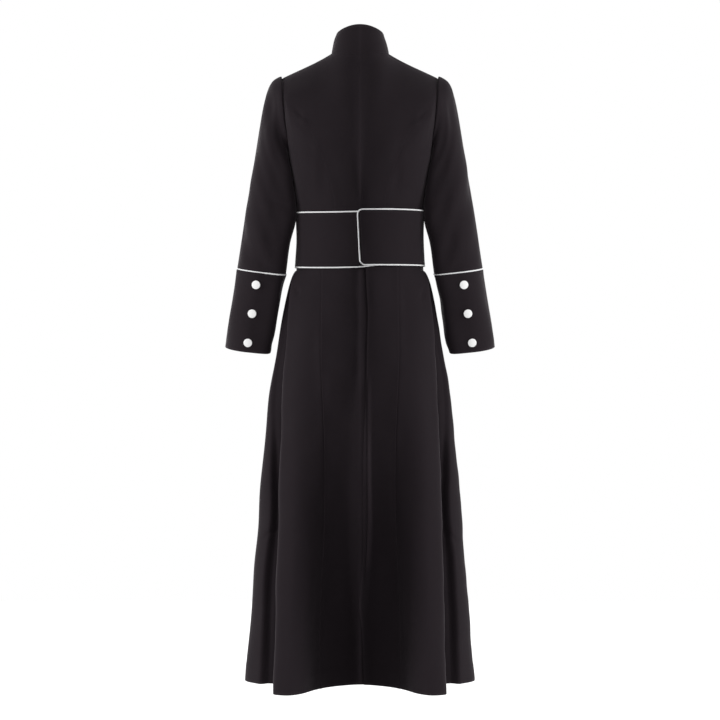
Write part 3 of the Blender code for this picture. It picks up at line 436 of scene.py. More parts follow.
def cap_leaves(turn):
    """The way the cloth leaves the armhole: out, away from the middle, and up."""
    spread = cap_value(turn, "spread") * np.sin(2 * np.pi * turn)
    return points(cap_value(turn, "out"), spread, cap_value(turn, "lift"))


def sleeve_cap(start, turn, share):
    """The head, a curve from the armhole (share 0) to the sleeve's first oval (share 1)."""
    first = sleeve_oval(turn, np.full_like(turn, SLEEVE_TOP_Z))
    arrive = first + points(cap_value(turn, "lean"), 0, cap_value(turn, "hang"))
    return beside_body(bezier(start, start + cap_leaves(turn), arrive, first, share))


print("the sleeve leaves the shoulder's tip", HEAD.out, "m out, and the underarm", UNDERARM.out)


# %% Mitres on the armhole
def armhole_mitre(face, height):
    """Half way between the way the bodice faces and the way the sleeve faces."""
    step = 0.002
    upward = armhole(face, np.clip(height + step, 0, 1)) - armhole(face, np.clip(height - step, 0, 1))
    level = np.where(height > 0.999, -1.0, np.where(height < 0.001, 1.0, 0.0))[..., None]
    upward = np.where(level != 0, level * np.array([0.0, face.sign, 0.0]), upward)
    sleeve = unit(np.cross(cap_leaves(armhole_turn(face, height)), -face.sign * upward))
    return unit(sleeve + bodice_facing(face, armhole_degrees(face, height), height))


def mitred(mitre, n):
    """The mitre, lengthened so that a wall moved along it keeps its thickness."""
    return mitre / np.maximum(np.sum(mitre * n, axis=-1, keepdims=True), 0.6)


def bodice_wall(face, degrees, height, out=0.0):
    """The bodice moved out along its normals, and along the mitre on the armhole."""
    degrees, height = np.broadcast_arrays(np.asarray(degrees, float), np.asarray(height, float))
    n = bodice_facing(face, degrees, height)
    on_armhole = (height >= 0) & (np.abs(degrees - armhole_degrees(face, height)) < 1e-6)
    mitre = mitred(armhole_mitre(face, np.clip(height, 0, 1)), n)
    n = np.where(on_armhole[..., None], mitre, n)
    return bodice(face, degrees, height) + n * np.asarray(out, float)[..., None]


rows = np.linspace(0, 1, 5)
mitres = armhole_mitre(BACK, rows), bodice_facing(BACK, armhole_degrees(BACK, rows), rows)
leaning = np.degrees(np.arccos(np.clip(np.sum(mitres[0] * mitres[1], axis=1), -1, 1)))
print("behind, the mitre leans from the cloth's normal by", leaning.round(), "degrees")

# %% [markdown]
# ## The form of the skirt
#
# Six gores flare from the waist and fall into soft folds. A fold line starts at its own angle on
# the waist and drifts out to its own place on the hem, so the folds deepen on the way down as
# they do in hanging cloth. Between the lines the cloth is a smooth curve through all of them.

# %% The fold lines of half a skirt
FOLDS = table_of(
    "name waist_deg hem_x hem_y ease_x ease_y",
    ("centre_back", 0, 0.0000, 0.1180, 1.00, 0.45),
    ("princess_seam", 36, 0.0705, 0.1580, 0.80, 0.70),
    ("back_swell", 59, 0.1450, 0.2380, 0.60, 0.80),
    ("back_ridge", 76, 0.1755, 0.2260, 0.35, 0.78),
    ("ridge_behind", 79, 0.1690, 0.1760, 0.42, 0.80),
    ("side_valley", 82, 0.1540, 0.1120, 0.55, 0.85),
    ("side_flare", 86, 0.1990, 0.1020, 0.58, 0.85),
    ("side_corner", 89, 0.2405, 0.0620, 0.585, 0.85),
    ("side_seam", 94, 0.2390, -0.0100, 0.585, 0.85),
    ("front_flare", 107, 0.2250, -0.0850, 0.60, 0.85),
    ("front_valley", 122, 0.1800, -0.1360, 0.62, 0.85),
    ("front_ridge", 138, 0.1480, -0.2120, 0.62, 0.82),
    ("front_hollow", 160, 0.0760, -0.1960, 0.80, 0.80),
    ("centre_front", 180, 0.0000, -0.2050, 1.00, 0.80),
)
# How the flare grows: the share of the skirt's fall, and the share of its spread.
FLARE = table_of(
    "fallen share",
    (0.000, 0.000),
    (0.195, 0.197),
    (0.318, 0.351),
    (0.441, 0.467),
    (0.564, 0.578),
    (0.686, 0.670),
    (0.809, 0.785),
    (0.932, 0.905),
    (1.000, 1.000),
)
HEM_POINTS = np.array([(fold.hem_x, fold.hem_y) for fold in FOLDS])
HEM_STEPS = np.linalg.norm(np.diff(HEM_POINTS, axis=0), axis=1)
FOLD_AT = np.concatenate([[0], np.cumsum(HEM_STEPS ** 0.7)])  # the skirt's coordinate round the body
AT = {fold.name: at for fold, at in zip(FOLDS, FOLD_AT)}
print("half the hem runs", round(HEM_STEPS.sum(), 3), "m in straight steps from fold to fold")


# %% The outside of the skirt
def waist_ring(degrees, z):
    """The body's oval at an angle from the middle of the back, all the way to the front."""
    degrees, z = np.broadcast_arrays(np.asarray(degrees, float), np.asarray(z, float))
    behind = oval(BACK, np.minimum(degrees, 90), z)
    before = oval(FRONT, np.minimum(180 - degrees, 90), z)
    return np.where((degrees <= 90)[..., None], behind, before)


def fold_spread(fold, z):
    """How far one fold line has left the waist: nothing at the belt, all of it at the hem. Its x
    grows as the flare's share, its y as the fall, each to the power of the fold's own ease."""
    start = waist_ring(fold.waist_deg, FOLDS_Z)
    fallen = np.clip((FOLDS_Z - z) / (FOLDS_Z - HEM_Z), 0, 1)
    share = through(fallen, column(FLARE, "fallen"), column(FLARE, "share"))
    return np.array([(fold.hem_x - start[0]) * share ** fold.ease_x,
                     (fold.hem_y - start[1]) * fallen ** fold.ease_y])


def skirt(at, z):
    """The skirt's outside on the wearer's left: the waist's oval and a cubic curve through the
    folds' spreads. at is 0 at the middle of the back, and past either end is the other half."""
    at, z = np.broadcast_arrays(np.asarray(at, float), np.asarray(z, float))
    shape, at, z = at.shape, at.ravel(), z.ravel()
    other_half = (at < 0) | (at > FOLD_AT[-1])
    at = np.where(at < 0, -at, np.where(at > FOLD_AT[-1], 2 * FOLD_AT[-1] - at, at))
    start = waist_ring(steady(at, FOLD_AT, column(FOLDS, "waist_deg")), np.maximum(z, FOLDS_Z))
    spread = np.array([fold_spread(fold, z) for fold in FOLDS])
    mirror = np.array([-1.0, 1.0])[:, None]
    spread = np.concatenate([spread[1:2] * mirror, spread, spread[-2:-1] * mirror])
    knots = np.concatenate([[-FOLD_AT[1]], FOLD_AT, [2 * FOLD_AT[-1] - FOLD_AT[-2]]])
    slopes = np.gradient(spread, knots, axis=0)
    i = np.clip(np.searchsorted(knots, at, side="right") - 1, 0, len(knots) - 2)
    step = knots[i + 1] - knots[i]
    n = np.arange(len(at))
    xy = cubic((at - knots[i]) / step, step, spread[i, :, n].T, spread[i + 1, :, n].T,
               slopes[i, :, n].T, slopes[i + 1, :, n].T)
    x = (start[:, 0] + xy[0]) * np.where(other_half, -1, 1)
    return points(x, start[:, 1] + xy[1], z).reshape(*shape, 3)


def skirt_wall(at, z, out=0.0):
    """The skirt moved out level, so that its hem stays flat."""
    step = skirt(at + 0.002, z) - skirt(at - 0.002, z)
    n = unit(points(-step[..., 1], step[..., 0], 0))
    return skirt(at, z) + n * np.asarray(out, float)[..., None]


print("the side seam stands out", round(float(skirt(AT["side_seam"], HEM_Z)[0]), 3), "m at the hem")


# %% Laps of the skirt
# The centre-back pleat: how far right of the middle its edge lies, at each height.
PLEAT = table_of(
    "z edge",
    (-1.336, 0.0063),
    (-1.212, 0.0020),
    (-1.172, -0.0010),
    (-1.139, 0.0010),
    (-1.076, 0.0059),
    (-0.993, 0.0073),
    (-0.867, 0.0084),
    (-0.742, 0.0125),
    (-0.616, 0.0132),
    (-0.553, 0.0146),
    (-0.512, 0.0125),
    (-0.466, 0.0110),
    (-0.405, 0.0080),
)
PLEAT_UNDERLAP = 0.024
FRONT_LAP = 0.015
FRONT_UNDERLAP = 0.018
SINK = WALL + 0.0005  # how far a wall drops to pass under another
SINK_RAMP = 0.030


def pleat_edge(z):
    """The pleat's edge at a height, on the curve through its table."""
    return through(z, column(PLEAT, "z"), column(PLEAT, "edge"))


def at_distance(x, z):
    """The skirt's coordinate at a distance x from the middle of the back."""
    return FOLD_AT[1] * x / skirt(FOLD_AT[1], z)[..., 0]


def at_front_distance(x, z):
    """The skirt's coordinate at a distance x past the middle of the front."""
    return FOLD_AT[-1] + (FOLD_AT[-1] - FOLD_AT[-2]) * x / skirt(FOLD_AT[-2], z)[..., 0]


def under_share(x, edge):
    """1 where a wall lies under another, whose edge is at x = -edge, falling to 0 beside it."""
    return 1 - smooth((x + edge) / SINK_RAMP)


def left_skirt_wall(at, z, out=0.0):
    """The left half passes under the right at the back pleat and at the front."""
    x = skirt(at, z)[..., 0]
    sunk = np.where(at < AT["side_seam"], under_share(x, pleat_edge(z)), under_share(x, -FRONT_LAP))
    return skirt_wall(at, z, out - SINK * sunk)


def front_degrees(distance, height):
    """The bodice's angle at a distance from the middle of the front."""
    return 5.0 * distance / bodice(FRONT, np.full_like(height, 5.0), height)[..., 0]


print("at the hem the pleat laps", round(1000 * float(pleat_edge(HEM_Z)), 1), "mm past the middle")

# %% [markdown]
# ## From a form to a piece of cloth
#
# A sewn edge isn't a line drawn on the cloth. The two layers turn in at the stitches, so the
# surface dips by about a millimetre in the last two, and a seam pressed to one side stands a
# little proud on that side. So every panel gets grid columns close beside its edges, and the dip
# is a function of the distance from the edge.

# %% Grids that follow the cloth
NEAR = np.array([0, 0.5, 1.0, 1.7, 2.6, 4.0]) / 1000  # metres from an edge that need a column
CELL = 0.0042  # metres, the grid elsewhere


def evenly(surface, start, end, rows, step=CELL):
    """Coordinates across a panel, one row for each of rows, that lie evenly on the cloth.

    The surface is measured in 160 steps from start to end. The distances NEAR from both edges,
    and even steps between them, are then looked up in that measure."""
    u = start[:, None] + (end - start)[:, None] * np.linspace(0, 1, 161)
    strides = np.linalg.norm(np.diff(surface(u, rows[:, None] + 0 * u), axis=1), axis=2)
    run = np.concatenate([np.zeros((len(rows), 1)), np.cumsum(strides, axis=1)], axis=1)
    length = run[:, -1:]
    near = NEAR * np.minimum(1, length / (3 * NEAR[-1]))
    count = max(2, round(float(length.max()) / step))
    middle = near[:, -1:] + (length - 2 * near[:, -1:]) * np.linspace(0, 1, count + 1)[1:-1]
    wanted = np.concatenate([near, middle, length - near[:, ::-1]], axis=1)
    return np.stack([np.interp(*row) for row in zip(wanted, run, u)])


# Where a point lies on the flat cloth, and how far it is from each of its edges.
Lay = namedtuple("Lay", "across along left right bottom top")


def lay_of(p):
    """Where each grid point lies on the flat cloth, and its distance from each edge, in metres."""
    across = np.pad(np.cumsum(np.linalg.norm(np.diff(p, axis=1), axis=2), axis=1), ((0, 0), (1, 0)))
    along = np.pad(np.cumsum(np.linalg.norm(np.diff(p, axis=0), axis=2), axis=0), ((1, 0), (0, 0)))
    return Lay(across, along, across, across[:, -1:] - across, along, along[-1:] - along)


print("grid columns beside an edge, in mm:", NEAR * 1000, "and every", CELL * 1000, "elsewhere")


# %% Edges
# An edge dips by dip within roll metres of it, and swells by swell within reach metres.
Edge = namedtuple("Edge", "dip roll swell reach")
FREE = Edge(0.0, 0.001, 0.0, 0.001)
PRESSED = Edge(0.0009, 0.0013, 0.0002, 0.005)  # turnings pressed open
FOLDED = Edge(0.0, 0.001, 0.0012, 0.0050)  # a folded edge, thicker than one layer


def edge_rise(distance, edge):
    """-dip exp(-(d / roll)²) + swell exp(-(d / reach)²)."""
    dip = -edge.dip * np.exp(-(distance / edge.roll) ** 2)
    return dip + edge.swell * np.exp(-(distance / edge.reach) ** 2)


print("a pressed seam lies", round(-1000 * edge_rise(0.0, PRESSED), 1), "mm under the cloth beside it")

# %% The hand of the cloth
WAVES = (0.055, 0.075, 0.10, 0.14, 0.19)  # their lengths, in metres
STILL = 0.020  # metres within which a seam holds the cloth still


def hand(lay, seed, rise=0.00035):
    """The faint unevenness of pressed cloth: a sum of sines in random directions, the longer
    ones higher. It fades out beside the side and top seams."""
    dice = np.random.default_rng(seed)
    total = np.zeros_like(lay.across)
    for wave_length in WAVES:
        turn, phase = dice.uniform(0, 2 * np.pi, 2)
        path = lay.across * np.cos(turn) + lay.along * np.sin(turn)
        total += np.sin(2 * np.pi * path / wave_length + phase) * wave_length / 0.1
    return total * rise * smooth(np.minimum(np.minimum(lay.left, lay.right), lay.top) / STILL)


print("the cloth's own waves are", WAVES[0], "to", WAVES[-1], "m long")

# %% Soft folds
# A soft fold or dimple, placed on the body by its distance from the middle and its height. It is
# long one way and wide the other, turned from level, and rises from the cloth or sinks in.
Crease = namedtuple("Crease", "x z long wide turn rise")


def creased(x, z, table):
    """The sum over the table of rise exp(-(a / long)² - (b / wide)²), with a and b turned."""
    total = np.zeros(np.broadcast(x, z).shape)
    for fold in table:
        t = np.radians(fold.turn)
        dx, dz = x - fold.x, z - fold.z
        a, b = dx * np.cos(t) + dz * np.sin(t), dz * np.cos(t) - dx * np.sin(t)
        total += fold.rise * np.exp(-(a / fold.long) ** 2 - (b / fold.wide) ** 2)
    return total


across = creased(np.array([0, 0.01, 0.02]), 0.0, [Crease(0, 0, 0.01, 0.01, 0, 0.002)])
print("a 2 mm fold at its middle, one width away and two, in mm:", (1000 * across).round(2))


# %% [markdown]
# ## Walls with an inside and an outside
#
# Blender's Solidify modifier could thicken a sheet, but at an armhole two sheets meet at an angle
# and its walls would gap. Here the inner grid is the same form moved in, mitred where needed. A
# cut or folded edge is rounded by three rings of points between the two grids.

# %% Meshes from arrays
def in_scene(name, data):
    """An object that holds a mesh, a light or a camera."""
    made = bpy.data.objects.new(name, data)
    bpy.context.scene.collection.objects.link(made)
    return made


def mesh_object(name, corners, faces, uv=None, wear_and_highlight=None):
    """An object at the origin from points and arrays of faces, each array with its own number of
    corners. The faces are turned where that gives the closed shape a positive volume."""
    volume = 0
    for group in faces:
        for k in range(1, group.shape[1] - 1):
            a, b, c = (corners[group[:, i]] for i in (0, k, k + 1))
            volume += np.einsum("ij,ij->", a, np.cross(b, c))
    if volume < 0:
        faces = [group[:, ::-1] for group in faces]
        uv = None if uv is None else [group[:, ::-1] for group in uv]
    sizes = np.concatenate([np.full(len(group), group.shape[1]) for group in faces])
    mesh = bpy.data.meshes.new(name)
    mesh.vertices.add(len(corners))
    mesh.vertices.foreach_set("co", corners.astype(np.float32).ravel())
    mesh.loops.add(int(sizes.sum()))
    mesh.loops.foreach_set("vertex_index", np.concatenate([g.ravel() for g in faces]).astype(np.int32))
    mesh.polygons.add(len(sizes))
    mesh.polygons.foreach_set("loop_start", (np.cumsum(sizes) - sizes).astype(np.int32))
    mesh.update(calc_edges=True)
    if uv is not None:
        flat = np.concatenate([group.ravel() for group in uv]).astype(np.float32)
        mesh.uv_layers.new(name="cloth").data.foreach_set("uv", flat)
    # a float per point: folded edges that rub paler, and highlights painted into the colour
    if wear_and_highlight is not None:
        worn_and_highlit = mesh.attributes.new("wear_and_highlight", "FLOAT", "POINT")
        worn_and_highlit.data.foreach_set("value", wear_and_highlight.astype(np.float32))
    mesh.shade_smooth()
    mesh.validate()
    return in_scene(name, mesh)


def grid_quads(number):
    """The faces of a grid of point numbers."""
    corners = number[:-1, :-1], number[:-1, 1:], number[1:, 1:], number[1:, :-1]
    return np.stack(corners, axis=2).reshape(-1, 4, *number.shape[2:])


print("a grid of 3 by 3 points has", len(grid_quads(np.arange(9).reshape(3, 3))), "faces")

# %% The rim of a wall
RIM = np.radians([35, 90, 145])  # where the rings of a rounded edge stand
RUB = 0.003  # metres from a folded edge within which the cloth is rubbed


def way_out(grid, round_edges):
    """At each point of the grid's rim the way out of the cloth: the unit steps to it from inside,
    added and shortened to 1. It is nothing where the cloth is sewn."""
    out = np.zeros_like(grid)
    edges = {"bottom": (np.s_[0], np.s_[1]), "top": (np.s_[-1], np.s_[-2]),
             "left": (np.s_[:, 0], np.s_[:, 1]), "right": (np.s_[:, -1], np.s_[:, -2])}
    for name in round_edges:
        edge, beside = edges[name]
        out[edge] += unit(grid[edge] - grid[beside])
    return out / np.maximum(1, np.linalg.norm(out, axis=-1, keepdims=True))


def rim_loops(grid, closed):
    """The grid's rim as closed loops that run the way its faces do."""
    if closed:
        return [grid[0], grid[-1, ::-1]]
    return [np.concatenate([grid[0, :-1], grid[:-1, -1], grid[-1, :0:-1], grid[::-1, 0]])]


print("a rounded edge has", len(RIM), "rings of points")


# %% A wall of cloth
def wall(name, outer, inner, lay, closed=False, round_edges=(), worn_and_highlit=None):
    """A closed shell from an outer and an inner grid of points. A closed grid is a tube, whose
    last column repeats its first. The rings of the rim stand half the wall's thickness from its
    middle: out along cos t, and away from the cloth by sin t."""
    rows, columns = outer.shape[:2]
    used = columns - 1 if closed else columns
    number = np.arange(rows * used).reshape(rows, used)
    number = np.concatenate([number, number[:, :1]], axis=1) if closed else number
    place = np.stack([lay.across, lay.along], axis=-1)
    corners = [outer[:, :used].reshape(-1, 3), inner[:, :used].reshape(-1, 3)]
    quads, flat = grid_quads(number), grid_quads(place)
    faces, uv = [quads, quads[:, ::-1] + rows * used], [flat, flat[:, ::-1]]
    start = 2 * rows * used
    grids = (outer, inner, way_out(outer, round_edges), number, place)
    for over, under, out, n, where in zip(*(rim_loops(grid, closed) for grid in grids)):
        middle, half = ((over + under) / 2)[:-1], ((over - under) / 2)[:-1]
        radius = np.linalg.norm(half, axis=-1, keepdims=True)
        t = RIM[:, None, None]
        corners.append((middle + half * np.cos(t) + out[:-1] * radius * np.sin(t)).reshape(-1, 3))
        ring = start + np.arange(len(RIM) * len(middle)).reshape(len(RIM), -1)
        ladder = np.concatenate([n[None, :-1], ring, n[None, :-1] + rows * used])
        faces.append(grid_quads(np.concatenate([ladder, ladder[:, :1]], axis=1))[:, ::-1])
        uv.append(grid_quads(np.repeat(where[None], len(RIM) + 2, axis=0))[:, ::-1])
        start += ring.size
    corners = np.concatenate(corners)
    wear_and_highlight = np.zeros(len(corners))
    for edge in round_edges:
        close = np.exp(-(getattr(lay, edge)[:, :used] / RUB) ** 2).ravel()
        wear_and_highlight[:rows * used] = np.maximum(wear_and_highlight[:rows * used], close)
    # The marks passed in are highlights painted lighter into the colour; they add to the folded edges that
    # rub paler.
    if worn_and_highlit is not None:
        wear_and_highlight[:rows * used] = np.maximum(wear_and_highlight[:rows * used], worn_and_highlit[:, :used].ravel())
    return mesh_object(name, corners, faces, uv, wear_and_highlight)


# %% Dress a node with a piece of cloth
def cloth_area(p):
    """The area of a grid of points: half of the cross product of each cell's diagonals."""
    first, second = p[1:, 1:] - p[:-1, :-1], p[1:, :-1] - p[:-1, 1:]
    return float(np.linalg.norm(np.cross(first, second), axis=-1).sum() / 2)


def dress(piece, finish, slot, *nodes):
    """The piece gets its finish and rides on the garment's one body; the nodes it replaces are hidden."""
    piece.data.materials.append(finish)
    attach(piece, "root")
    if nodes:
        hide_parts(*nodes)


def cut_out(piece, outer, lay):
    width, length, area = float(lay.across.max()), float(lay.along.max()), cloth_area(outer)
    faces = len(piece.data.polygons)
    print(f"{piece.name}: cut {width * 1000:.0f} x {length * 1000:.0f} mm, {area:.4f} m2, {faces} faces")


# %% A panel
def panel(name, node, side, form, u, v, sewn, folds=None, round_edges=(), seed=0, worn_and_highlit=None):
    """A panel on the wearer's left (side 1) or right (side -1). sewn(lay) gives its seams,
    folds(points) its creases, which bend the inside too, and the last argument, read at
    (u, points), the highlights painted lighter into its colour."""
    lay = lay_of(form(u, v, np.zeros_like(u)))
    soft = hand(lay, seed)
    if folds is not None:
        soft = soft + folds(form(u, v, np.zeros_like(u))) * smooth(lay.top / STILL)
    mirror = np.array([side, 1.0, 1.0])
    outer = form(u, v, soft + sewn(lay)) * mirror
    painted_highlight = None if worn_and_highlit is None else worn_and_highlit(u, outer * mirror)
    piece = wall(name, outer, form(u, v, soft - WALL) * mirror, lay, round_edges=round_edges, worn_and_highlit=painted_highlight)
    dress(piece, suiting, "black_suiting", node)
    cut_out(piece, outer, lay)

# %% [markdown]
# ## Wires in a material
#
# A finish in Blender is a tree of nodes. The sums in it are easier to read as sums, so one small
# class wraps an output socket, and `a * b + c` on it adds the Math nodes.

# %% A wire with arithmetic
class Wire:
    """A number on its way through a material's nodes. Its + - and * add Math nodes."""

    def __init__(self, tree, socket):
        self.tree, self.socket = tree, socket

    def node(self, kind, settings=None, sockets=None, out=0):
        """Adds a node: its settings first, then its sockets, each from a wire or a value."""
        made = self.tree.nodes.new(kind)
        for name, value in (settings or {}).items():
            setattr(made, name, value)
        for name, value in (sockets or {}).items():
            if isinstance(value, Wire):
                self.tree.links.new(value.socket, made.inputs[name])
            else:
                made.inputs[name].default_value = value
        return Wire(self.tree, made.outputs[out])

    def math(self, operation, *values):
        """One Math node on these wires and numbers."""
        return self.node("ShaderNodeMath", {"operation": operation}, dict(enumerate(values)))

    def __add__(self, other): return self.math("ADD", self, other)
    def __radd__(self, other): return self.math("ADD", other, self)
    def __sub__(self, other): return self.math("SUBTRACT", self, other)
    def __rsub__(self, other): return self.math("SUBTRACT", other, self)
    def __mul__(self, other): return self.math("MULTIPLY", self, other)
    def __rmul__(self, other): return self.math("MULTIPLY", other, self)

    def sine(self):
        """The sine of the number, which is in radians."""
        return self.math("SINE", self)

    def noise(self, scale, detail=2.0, roughness=0.5):
        """Smooth noise about 0, from -0.5 to 0.5. The wire holds the place."""
        sockets = {"Vector": self, "Scale": scale, "Detail": detail, "Roughness": roughness}
        return self.node("ShaderNodeTexNoise", sockets=sockets) - 0.5


def new_finish(name, **constants):
    """A material with a Principled shader. Returns it, the shader, and a wire to build from."""
    made = bpy.data.materials.new(name)
    made.use_nodes = True
    shader = made.node_tree.nodes["Principled BSDF"]
    for socket, value in constants.items():
        shader.inputs[socket.replace("_", " ")].default_value = value
    place = made.node_tree.nodes.new("ShaderNodeTexCoord")
    return made, shader, Wire(made.node_tree, place.outputs["Object"])


def set_socket(shader, name, wire):
    """Links a wire to a socket of the shader."""
    wire.tree.links.new(wire.socket, shader.inputs[name])


def mixed(wire, share, first, second):
    """The colour (1 - share) first + share second."""
    sockets = {0: share, 6: (*first, 1.0), 7: (*second, 1.0)}
    return wire.node("ShaderNodeMix", {"data_type": "RGBA"}, sockets, out=2)


def split(wire):
    """The three numbers of a vector."""
    return [wire.node("ShaderNodeSeparateXYZ", sockets={"Vector": wire}, out=k) for k in range(3)]


print("a wire can be added, subtracted and multiplied, from either side")

# %% [markdown]
# ## Black suiting
#
# Clerical suiting is a fine twill of black yarn. Black cloth isn't the colour black: it is a very
# dark, slightly warm violet grey, and what shapes it to the eye is the nap, which catches light
# where the cloth turns away. A sheen on the shader does that. The twill is drawn on the piece's
# own flat layout, in metres, so that it follows every panel's grain. Folded edges rub a little
# paler, and on the skirt's back two highlights are painted lighter into the colour.

# %% Black suiting
TWO_PI = 2 * np.pi
TWILL = 0.0011  # metres from one diagonal rib to the next
TWILL_SLANT = 1.35  # threads up for each thread across
YARN = 0.00055


def make_suiting(name, deep, worn_and_highlit):
    """The colour lies between the deep one and the lighter one by a share: a fifth, plus patches,
    nap, a trace of the ribs, folded edges that rub paler, and highlights painted into the colour
    beside the pleat and on the deep fold. The bump is the ribs, the yarns and the nap added up."""
    made, shader, place = new_finish(name, Sheen_Weight=0.05, Sheen_Roughness=0.45,
                                     Sheen_Tint=(1.0, 0.88, 0.96, 1.0), Specular_IOR_Level=0.14,
                                     Specular_Tint=(1.0, 0.84, 0.95, 1.0))
    flat = place.node("ShaderNodeUVMap", {"uv_map": "cloth"})
    u, v, _ = split(flat)
    rib = ((u + v * TWILL_SLANT) * (TWO_PI / TWILL)).sine()
    yarn = (u * (TWO_PI / YARN)).sine() * (v * (TWO_PI / YARN)).sine()
    nap = place.noise(900.0, 3.0)
    cloud = place.noise(14.0, 3.0)
    # This attribute holds folded edges that rub paler and highlights painted lighter into the colour.
    wear_and_highlight = place.node("ShaderNodeAttribute", {"attribute_name": "wear_and_highlight"}, out=2)
    share = wear_and_highlight * 0.45 + cloud * 0.35 + nap * 0.25 + rib * 0.03 + 0.2
    set_socket(shader, "Base Color", mixed(place, share, deep, worn_and_highlit))
    set_socket(shader, "Roughness", 0.80 + cloud * 0.08 - wear_and_highlight * 0.06)
    height = rib * 0.5 + yarn * 0.25 + nap * 0.5
    bump = place.node("ShaderNodeBump", sockets={"Strength": 0.35, "Distance": 0.0002, "Height": height})
    set_socket(shader, "Normal", bump)
    return made


suiting = make_suiting("black_suiting_twill", (0.0092, 0.0070, 0.0084), (0.0178, 0.0138, 0.0164))
print("suiting: twill ribs", TWILL * 1000, "mm apart")

# %% [markdown]
# ## The bodice
#
# The back is cut in four: two backs that meet in the centre-back seam and two side backs, joined
# in princess seams that curve from the armhole to the waist and do the fitting without darts. The
# princess seams are pressed towards the middle, so the backs stand a little proud along them.

# %% Rows of the bodice
ARMHOLE_FOOT = ARMHOLE_CURVE * (1 - np.cos(np.linspace(0, np.pi / 2, 21)))
SIDE_BACK_TOP = 0.50  # the princess seam ends in the armhole here
RIB_LENGTH = 0.20  # metres, roughly, from the underarm's height to the shoulder
ROWS = np.concatenate([
    np.linspace(-1, 0, 46)[:-1],
    ARMHOLE_FOOT,
    np.linspace(ARMHOLE_CURVE, SIDE_BACK_TOP, 13)[1:],
    np.linspace(SIDE_BACK_TOP, 1 - NEAR[-1] / RIB_LENGTH, 25)[1:-1],
    1 - NEAR[::-1] / RIB_LENGTH,
])
print(len(ROWS), "rows of points from the waist seam to the shoulder")

# %% The princess seam
PRINCESS = table_of(
    "height degrees",
    (-1.00, 36.0),
    (-0.64, 23.5),
    (-0.43, 25.2),
    (-0.16, 30.3),
    (0.12, 39.6),
    (0.34, 54.5),
    (0.50, 69.1),
)
LOW_ROWS = ROWS[ROWS <= SIDE_BACK_TOP]
PRINCESS_DEGREES = through(LOW_ROWS, column(PRINCESS, "height"), column(PRINCESS, "degrees"))
print("the princess seams start", PRINCESS_DEGREES[0].round(1), "degrees round, and end at",
      PRINCESS_DEGREES[-1].round(1))

# %% Creases of the bodice
BACK_CREASES = (
    Crease(0.0000, -0.0500, 0.060, 0.026, 0, -0.0030),  # the hollow under the collar
    Crease(0.0950, -0.1050, 0.032, 0.040, 0, 0.0022),  # the shoulder blade
    Crease(0.1280, -0.1390, 0.012, 0.0050, 50, -0.0024),  # a pull where the princess seam ends
    Crease(0.1190, -0.1550, 0.009, 0.0060, 48, 0.0020),
    Crease(0.0920, -0.2500, 0.010, 0.060, 0, 0.0016),  # the side back stands over the blade's edge
    Crease(0.0400, -0.1500, 0.050, 0.050, 0, -0.0012),
)
FRONT_CREASES = (
    Crease(0.1150, -0.1500, 0.030, 0.0070, -42, -0.0024),  # from the armhole towards the chest
    Crease(0.0950, -0.1900, 0.035, 0.0080, -30, 0.0014),
    Crease(0.0700, -0.1300, 0.035, 0.035, 0, 0.0020),
    Crease(0.0850, -0.3100, 0.009, 0.050, 8, 0.0016),
)
BODICE_SHIFT, SKIRT_SHIFT = 0.004, 0.006


def creases_of(table, side, shift):
    """The creases of one half. The other half has the same ones, moved down by shift and weaker."""
    moved, share = (0.0, 1.0) if side > 0 else (shift, 0.85)
    return lambda p: share * creased(p[..., 0], p[..., 2] + moved, table)


print(len(BACK_CREASES), "creases on each back,", len(FRONT_CREASES), "on each front")

# %% Where the panels meet
CENTRE_BACK = Edge(0.0003, 0.0008, 0.0013, 0.0030)  # pressed open over a taped seam: a low ridge
BODICE_OVER = Edge(0.0001, 0.0010, 0.0004, 0.0110)
BODICE_UNDER = Edge(0.0002, 0.0030, 0.0, 0.001)
AT_ARMHOLE = Edge(0.0007, 0.0016, 0.0, 0.001)  # turned towards the sleeve, whose head stands over it
SLEEVE_HEAD = Edge(0.0046, 0.0013, 0.0042, 0.0085)
PLEAT_FOLD = Edge(0.0, 0.001, 0.0003, 0.0040)
SKIRT_OVER = Edge(0.0006, 0.0010, 0.0004, 0.0060)
SKIRT_UNDER = Edge(0.0006, 0.0030, 0.0, 0.001)


def centre_back_ridge(lay):
    """The ridge of the middle seam stands highest between the shoulder blades."""
    blades = smooth((lay.along - 0.11) / 0.05) * smooth((0.33 - lay.along) / 0.05)
    return edge_rise(lay.left, CENTRE_BACK) * (0.3 + 0.7 * blades)


print("the sleeve's head stands", 1000 * SLEEVE_HEAD.swell, "mm over the armhole's seam")


# %% Backs and side backs
HANDS = ((1, "left"), (-1, "right"))


def backs_form(degrees, height, out):
    """The wall of the back at an angle, a height and a distance out of the cloth."""
    return bodice_wall(BACK, degrees, height, out)


